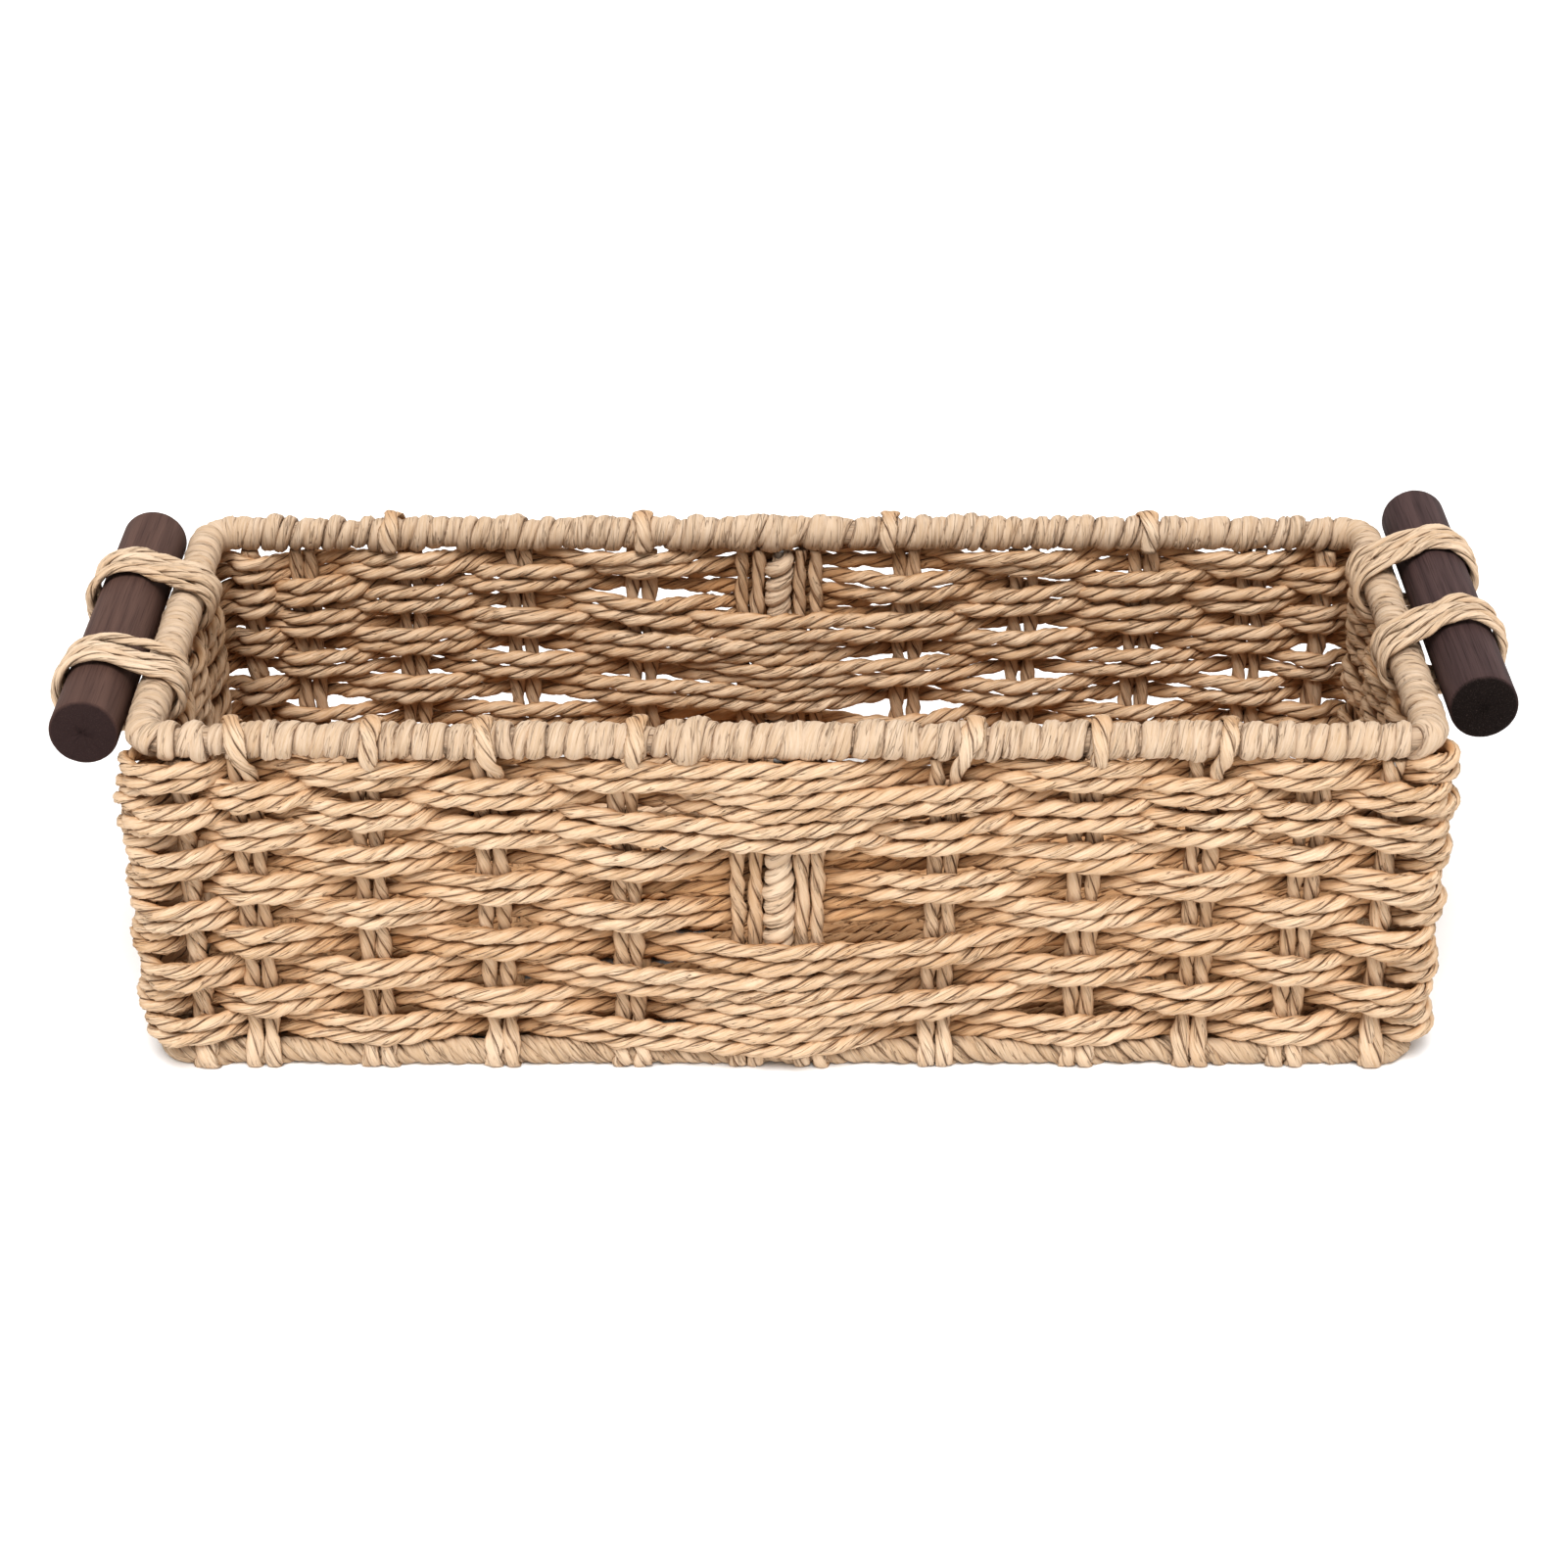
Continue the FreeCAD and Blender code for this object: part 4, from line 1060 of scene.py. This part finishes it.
def make_base_binding():
    """Several strands wound side by side round the base ring, falling to the right."""
    bundle = Bundle()
    turns = round(frame_ring.length / (BASE_PITCH * BASE_STARTS))
    steps = turns * 30
    add_core(bundle, BASE_RADIUS - 1.2 * BASE_HALF_THICKNESS, BASE_HEIGHT)
    for start in range(BASE_STARTS):
        rng = np.random.default_rng(520 + start)
        angle = -TAU * turns * np.arange(steps) / steps
        along = frame_ring.length * (np.arange(steps) / steps + start / (turns * BASE_STARTS))
        along = along + 0.5 * wander(rng, steps, 14, 1.1)
        radius = BASE_RADIUS + 0.1 - BASE_HALF_THICKNESS + 0.3 * wander(rng, steps, 7, 1.1)
        path, normal = wrap_path(along, angle, radius, BASE_HEIGHT)
        width = 1.95 * (1 + 0.1 * wander(rng, steps, 12, 1.1) + 0.3 * corner_spread(along))
        add_strip(bundle, path, normal, width, BASE_HALF_THICKNESS, rng, True)
    bundle.piece("base_binding_wrap", base_paper, FLAT, "base_binding")


make_rim_binding()
make_base_binding()


# ---------- floor
FLOOR_LINES = 15
FLOOR_PITCH = 2 * (HALF_WIDTH - BASE_RADIUS) / FLOOR_LINES
FLOOR_STRAND_DIAMETER = FLOOR_PITCH / 2
FLOOR_ROPE_SHAPE = (1.0, 1.16)
FLOOR_ROPE_PERIOD = 15.0
floor_low, floor_high = box_mm("floor_weavers")
rib_low, rib_high = box_mm("floor_ribs")
FLOOR_LEVEL = (rib_low[2] + rib_high[2]) / 2


# The ribs lie half-way between the stakes of the two long walls.
stake_boxes = [[box_mm(f"{end}_stake_{n}") for end in ("front", "rear")] for n in range(1, 9)]
RIBS = [np.mean(boxes, (0, 1))[0] for boxes in stake_boxes]


def floor_line_heights(x, line):
    """A line of the floor's weave passes over one rib and under the next."""
    rise = FLOOR_STRAND_DIAMETER / 2 + 0.1
    knots = [(floor_low[0], FLOOR_LEVEL)]
    for order, rib in enumerate(RIBS):
        height = FLOOR_LEVEL + rise if (order + 1 + line) % 2 else FLOOR_LEVEL - rise
        knots.extend(((rib - 3, height), (rib + 3, height)))
    knots.append((floor_high[0], FLOOR_LEVEL))
    heights = np.interp(x, *zip(*knots))
    return np.convolve(np.pad(heights, 4, mode="edge"), np.full(9, 1 / 9), mode="valid")


def make_floor_weavers():
    first = MIDDLE_Y - FLOOR_PITCH * (FLOOR_LINES - 1) / 2
    diameter = FLOOR_STRAND_DIAMETER
    step = 1.3
    x = np.arange(floor_low[0], floor_high[0], step)
    up = np.tile(UP, (len(x), 1))
    bundle = Bundle()
    for line in range(FLOOR_LINES):
        rng = np.random.default_rng(600 + line)
        z = floor_line_heights(x, line)
        for sign in (-1, 1):
            y = first + line * FLOOR_PITCH + sign * diameter / 2
            y = y + 0.15 * wander(rng, len(x), 40, step)
            path = np.stack((x, y, z), 1)
            add_rope(bundle, path, up, diameter, rng, False, FLOOR_ROPE_PERIOD, shape=FLOOR_ROPE_SHAPE)
    bundle.piece("floor_weavers_rope", rope_paper, WOVEN, "floor_weavers")


def make_floor_ribs():
    """Each rib is two flat strands side by side."""
    step = 1.6
    y = np.arange(rib_low[1], rib_high[1], step)
    up = np.tile(UP, (len(y), 1))
    bundle = Bundle()
    for number, rib in enumerate(RIBS):
        for order, shift in enumerate((-2.4, 2.4)):
            rng = np.random.default_rng(650 + 2 * number + order)
            x = rib + shift + 0.15 * wander(rng, len(y), 30, step)
            path = np.stack((x, y, np.full(len(y), FLOOR_LEVEL)), 1)
            add_strip(bundle, path, up, 2.3, 0.8, rng, False)
    bundle.piece("floor_ribs_strands", flat_paper, WOVEN, "floor_ribs")


make_floor_weavers()
make_floor_ribs()


# ---------- handles
def dowel_axis(side):
    """Middle of the handle, its radius, and half its length."""
    low, high = box_mm(f"{side}_handle_dowel")
    middle = (low + high) / 2
    return middle, (high[2] - low[2]) / 2, (high[1] - low[1]) / 2


DOWEL_BEVEL = 0.9


def dowel_rings(radius, half):
    """Radius, distance along the handle and share of end grain, from one end to the other."""
    face = radius - DOWEL_BEVEL
    profile = [(share * face, half, 1.0) for share in (0.05, 0.25, 0.45, 0.65, 0.82, 1)]
    for turn in (30, 60, 90):
        tilt = math.radians(turn)
        reach = face + DOWEL_BEVEL * math.sin(tilt)
        profile.append((reach, half - DOWEL_BEVEL + DOWEL_BEVEL * math.cos(tilt), 1.0 - turn / 90))
    side_steps = np.arange(half - DOWEL_BEVEL - 0.8, -half + DOWEL_BEVEL + 0.7, -2.0)
    rings = profile + [(radius, y, 0.0) for y in side_steps]
    rings += [(r, -y, end) for r, y, end in reversed(profile)]
    return np.array(rings)


def make_dowel(side, seed):
    rng = np.random.default_rng(seed)
    middle, radius, half = dowel_axis(side)
    rings = dowel_rings(radius, half)
    sides = 72
    around = np.linspace(0, TAU, sides, endpoint=False)
    flutes = wanders(rng, 2, sides, 6, 1.0).T
    blend = smoothstep(-half, half, rings[:, 1])[:, None]
    uneven = flutes[0] * blend + flutes[1] * (1 - blend)
    size = rings[:, :1] * (1 + 0.006 * uneven)
    pits = rng.normal(size=(len(rings), sides)) * 0.1 * rings[:, 2:]
    y = rings[:, 1:2] + np.sign(rings[:, 1:2]) * (pits - 0.15 * rings[:, 2:])
    x, z = size * np.cos(around), size * np.sin(around)
    grid = middle + np.stack((x, y, z), -1)
    fibre = np.stack((x, z, y), -1)
    bundle = Bundle()
    ends = np.broadcast_to(rings[:, 2:], size.shape)
    bundle.add(grid[::-1], fibre[::-1], ends[::-1], 0.0, False)
    material = wood_material(f"{side}_stained_wood", **DARK_WOOD[side])
    node = f"{side}_handle_dowel"
    bundle.piece(f"{node}_wood", material, "stained_wood", node, body=f"{side}_handle")


LASHING_TURNS = 4
LASHING_THICKNESS = 2.9
LASHING_WIDTH = 15.5
LASHING_STEP = 1.2
LASHING_CLEARANCE = 0.35


def lashing_loop(rim_centre, dowel_centre, rim_reach, dowel_reach):
    """A closed outline about the rim and the handle, in X and Z, and its outward directions."""
    apart = dowel_centre - rim_centre
    distance = np.linalg.norm(apart)
    heading = math.atan2(apart[1], apart[0])
    lean = math.acos((rim_reach - dowel_reach) / distance)
    spans = (
        (dowel_centre, dowel_reach, heading - lean, heading + lean),
        (rim_centre, rim_reach, heading + lean, heading + TAU - lean),
    )
    corners, normals = [], []
    for centre, reach, first, last in spans:
        turn = np.linspace(first, last, math.ceil(reach * (last - first) / LASHING_STEP))
        direction = np.stack((np.cos(turn), np.sin(turn)), 1)
        corners.append(centre + reach * direction)
        normals.append(direction)
    straight = math.sqrt(distance**2 - (rim_reach - dowel_reach) ** 2)
    pieces = math.ceil(straight / LASHING_STEP)
    shares = np.linspace(0, 1, pieces + 1)[1:-1, None]
    run = corners[0][-1] * (1 - shares) + corners[1][0] * shares
    back = corners[1][-1] * (1 - shares) + corners[0][0] * shares
    run_normal = np.repeat(normals[0][-1:], len(run), 0)
    back_normal = np.repeat(normals[1][-1:], len(back), 0)
    outline = np.concatenate((corners[0], run, corners[1], back))
    return outline, np.concatenate((normals[0], run_normal, normals[1], back_normal))


def make_lashing(side, end, seed):
    rng = np.random.default_rng(seed)
    node = f"{side}_{end}_lashing"
    low, high = box_mm(node)
    middle, radius, _ = dowel_axis(side)
    sign = -1 if side == "left" else 1
    rim_centre = np.array((sign * HALF_LENGTH, RIM_HEIGHT))
    dowel_centre = np.array((middle[0], middle[2]))
    half_thickness = LASHING_THICKNESS / 2
    clear = LASHING_CLEARANCE + half_thickness
    outline, normal = lashing_loop(rim_centre, dowel_centre, RIM_RADIUS + clear, radius + clear)
    count = len(outline)
    step = LASHING_STEP
    pitch = LASHING_WIDTH / LASHING_TURNS
    centre = (low[1] + high[1]) / 2
    from_rim = np.linalg.norm(outline - rim_centre, axis=1)
    at_rim = 1 - smoothstep(RIM_RADIUS + 2, RIM_RADIUS + 12, from_rim)
    bundle = Bundle()
    for turn in range(LASHING_TURNS):
        place = pitch * (turn + 0.5 - LASHING_TURNS / 2)
        y = centre + place * (1 + 0.22 * at_rim) + 0.55 * wander(rng, count, 22, step)
        lift = np.maximum(0.25 + 0.3 * wander(rng, count, 15, step), -0.05)
        path = np.stack((outline[:, 0], y, outline[:, 1]), 1)
        outward = np.stack((normal[:, 0], np.zeros(count), normal[:, 1]), 1)
        path = path + outward * lift[:, None]
        width = pitch * (1.14 + 0.08 * wander(rng, count, 20, step))
        shape = (2 * half_thickness / width, np.ones(count))
        add_rope(bundle, path, outward, width, rng, True, rng.uniform(19, 27), 0.05, shape)
    bundle.piece(f"{node}_rope", flat_paper, FLAT, node, body=f"{side}_lashings")


for seed, side in enumerate(("left", "right")):
    make_dowel(side, 700 + seed)
    for order, end in enumerate(("front", "rear")):
        make_lashing(side, end, 720 + 2 * seed + order)

WIRES = ("top_rim_wire", "base_rim_wire", "corner_posts", "front_centre_post", "rear_centre_post")
for name in WIRES:
    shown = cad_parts[name]
    shown.data.materials.clear()
    shown.data.materials.append(wire)


# ---------- studio
def make_floor_plane():
    """A pale floor that runs to the horizon."""
    reach = 80.0  # metres
    mesh = bpy.data.meshes.new("studio_floor")
    corners = [(-reach, -reach, 0), (reach, -reach, 0), (reach, reach, 0), (-reach, reach, 0)]
    mesh.from_pydata(corners, [], [(0, 1, 2, 3)])
    material, _, shader = new_material("studio_white")
    feed(shader.inputs["Base Color"], (0.93, 0.93, 0.93, 1))
    feed(shader.inputs["Roughness"], 0.9)
    mesh.materials.append(material)
    floor = new_object("studio_floor", mesh)


def add_sun(name, direction, strength, softness):
    """A large soft light that comes from the given direction."""
    light = bpy.data.lights.new(name, "SUN")
    light.energy = strength
    light.angle = math.radians(softness)
    holder = new_object(name, light)
    holder.rotation_euler = Vector(direction).to_track_quat("Z", "Y").to_euler()


SKY_LEVEL = 0.3  # of the sky overhead; the horizon is white


def make_lights():
    world = bpy.data.worlds.new("studio")
    world.use_nodes = True
    tree = world.node_tree
    direction = tree.nodes.new("ShaderNodeTexCoord").outputs["Generated"]
    split = tree.nodes.new("ShaderNodeSeparateXYZ")
    feed(split.inputs[0], direction)
    level = ramp_node(tree, split.outputs["Z"], ((0.2, 1.0), (0.4, SKY_LEVEL)))
    feed(tree.nodes["Background"].inputs["Color"], level)
    bpy.context.scene.world = world
    add_sun("key", (-0.06, -0.62, 1.1), 2.95, 36)
    add_sun("back", (0.35, 0.9, 0.8), 0.8, 80)


CAMERA_X = -0.8
CAMERA_BACK = 938.5  # from the middle of the basket
CAMERA_HEIGHT = 574.75
CAMERA_TILT = 28.95
CAMERA_LENS = 79.54  # for a sensor 36 mm wide


def make_camera():
    camera = bpy.data.cameras.new("camera")
    camera.sensor_width = 36.0
    camera.lens = CAMERA_LENS
    camera.clip_start = 0.05
    camera.clip_end = 50.0
    holder = new_object("camera", camera)
    holder.location = Vector((CAMERA_X, MIDDLE_Y - CAMERA_BACK, CAMERA_HEIGHT)) * MM
    holder.rotation_euler = (math.radians(90 - CAMERA_TILT), 0, 0)
    bpy.context.scene.camera = holder


make_floor_plane()
make_lights()
make_camera()
bpy.context.scene.view_settings.view_transform = "Standard"
bpy.context.scene.view_settings.look = "Medium High Contrast"
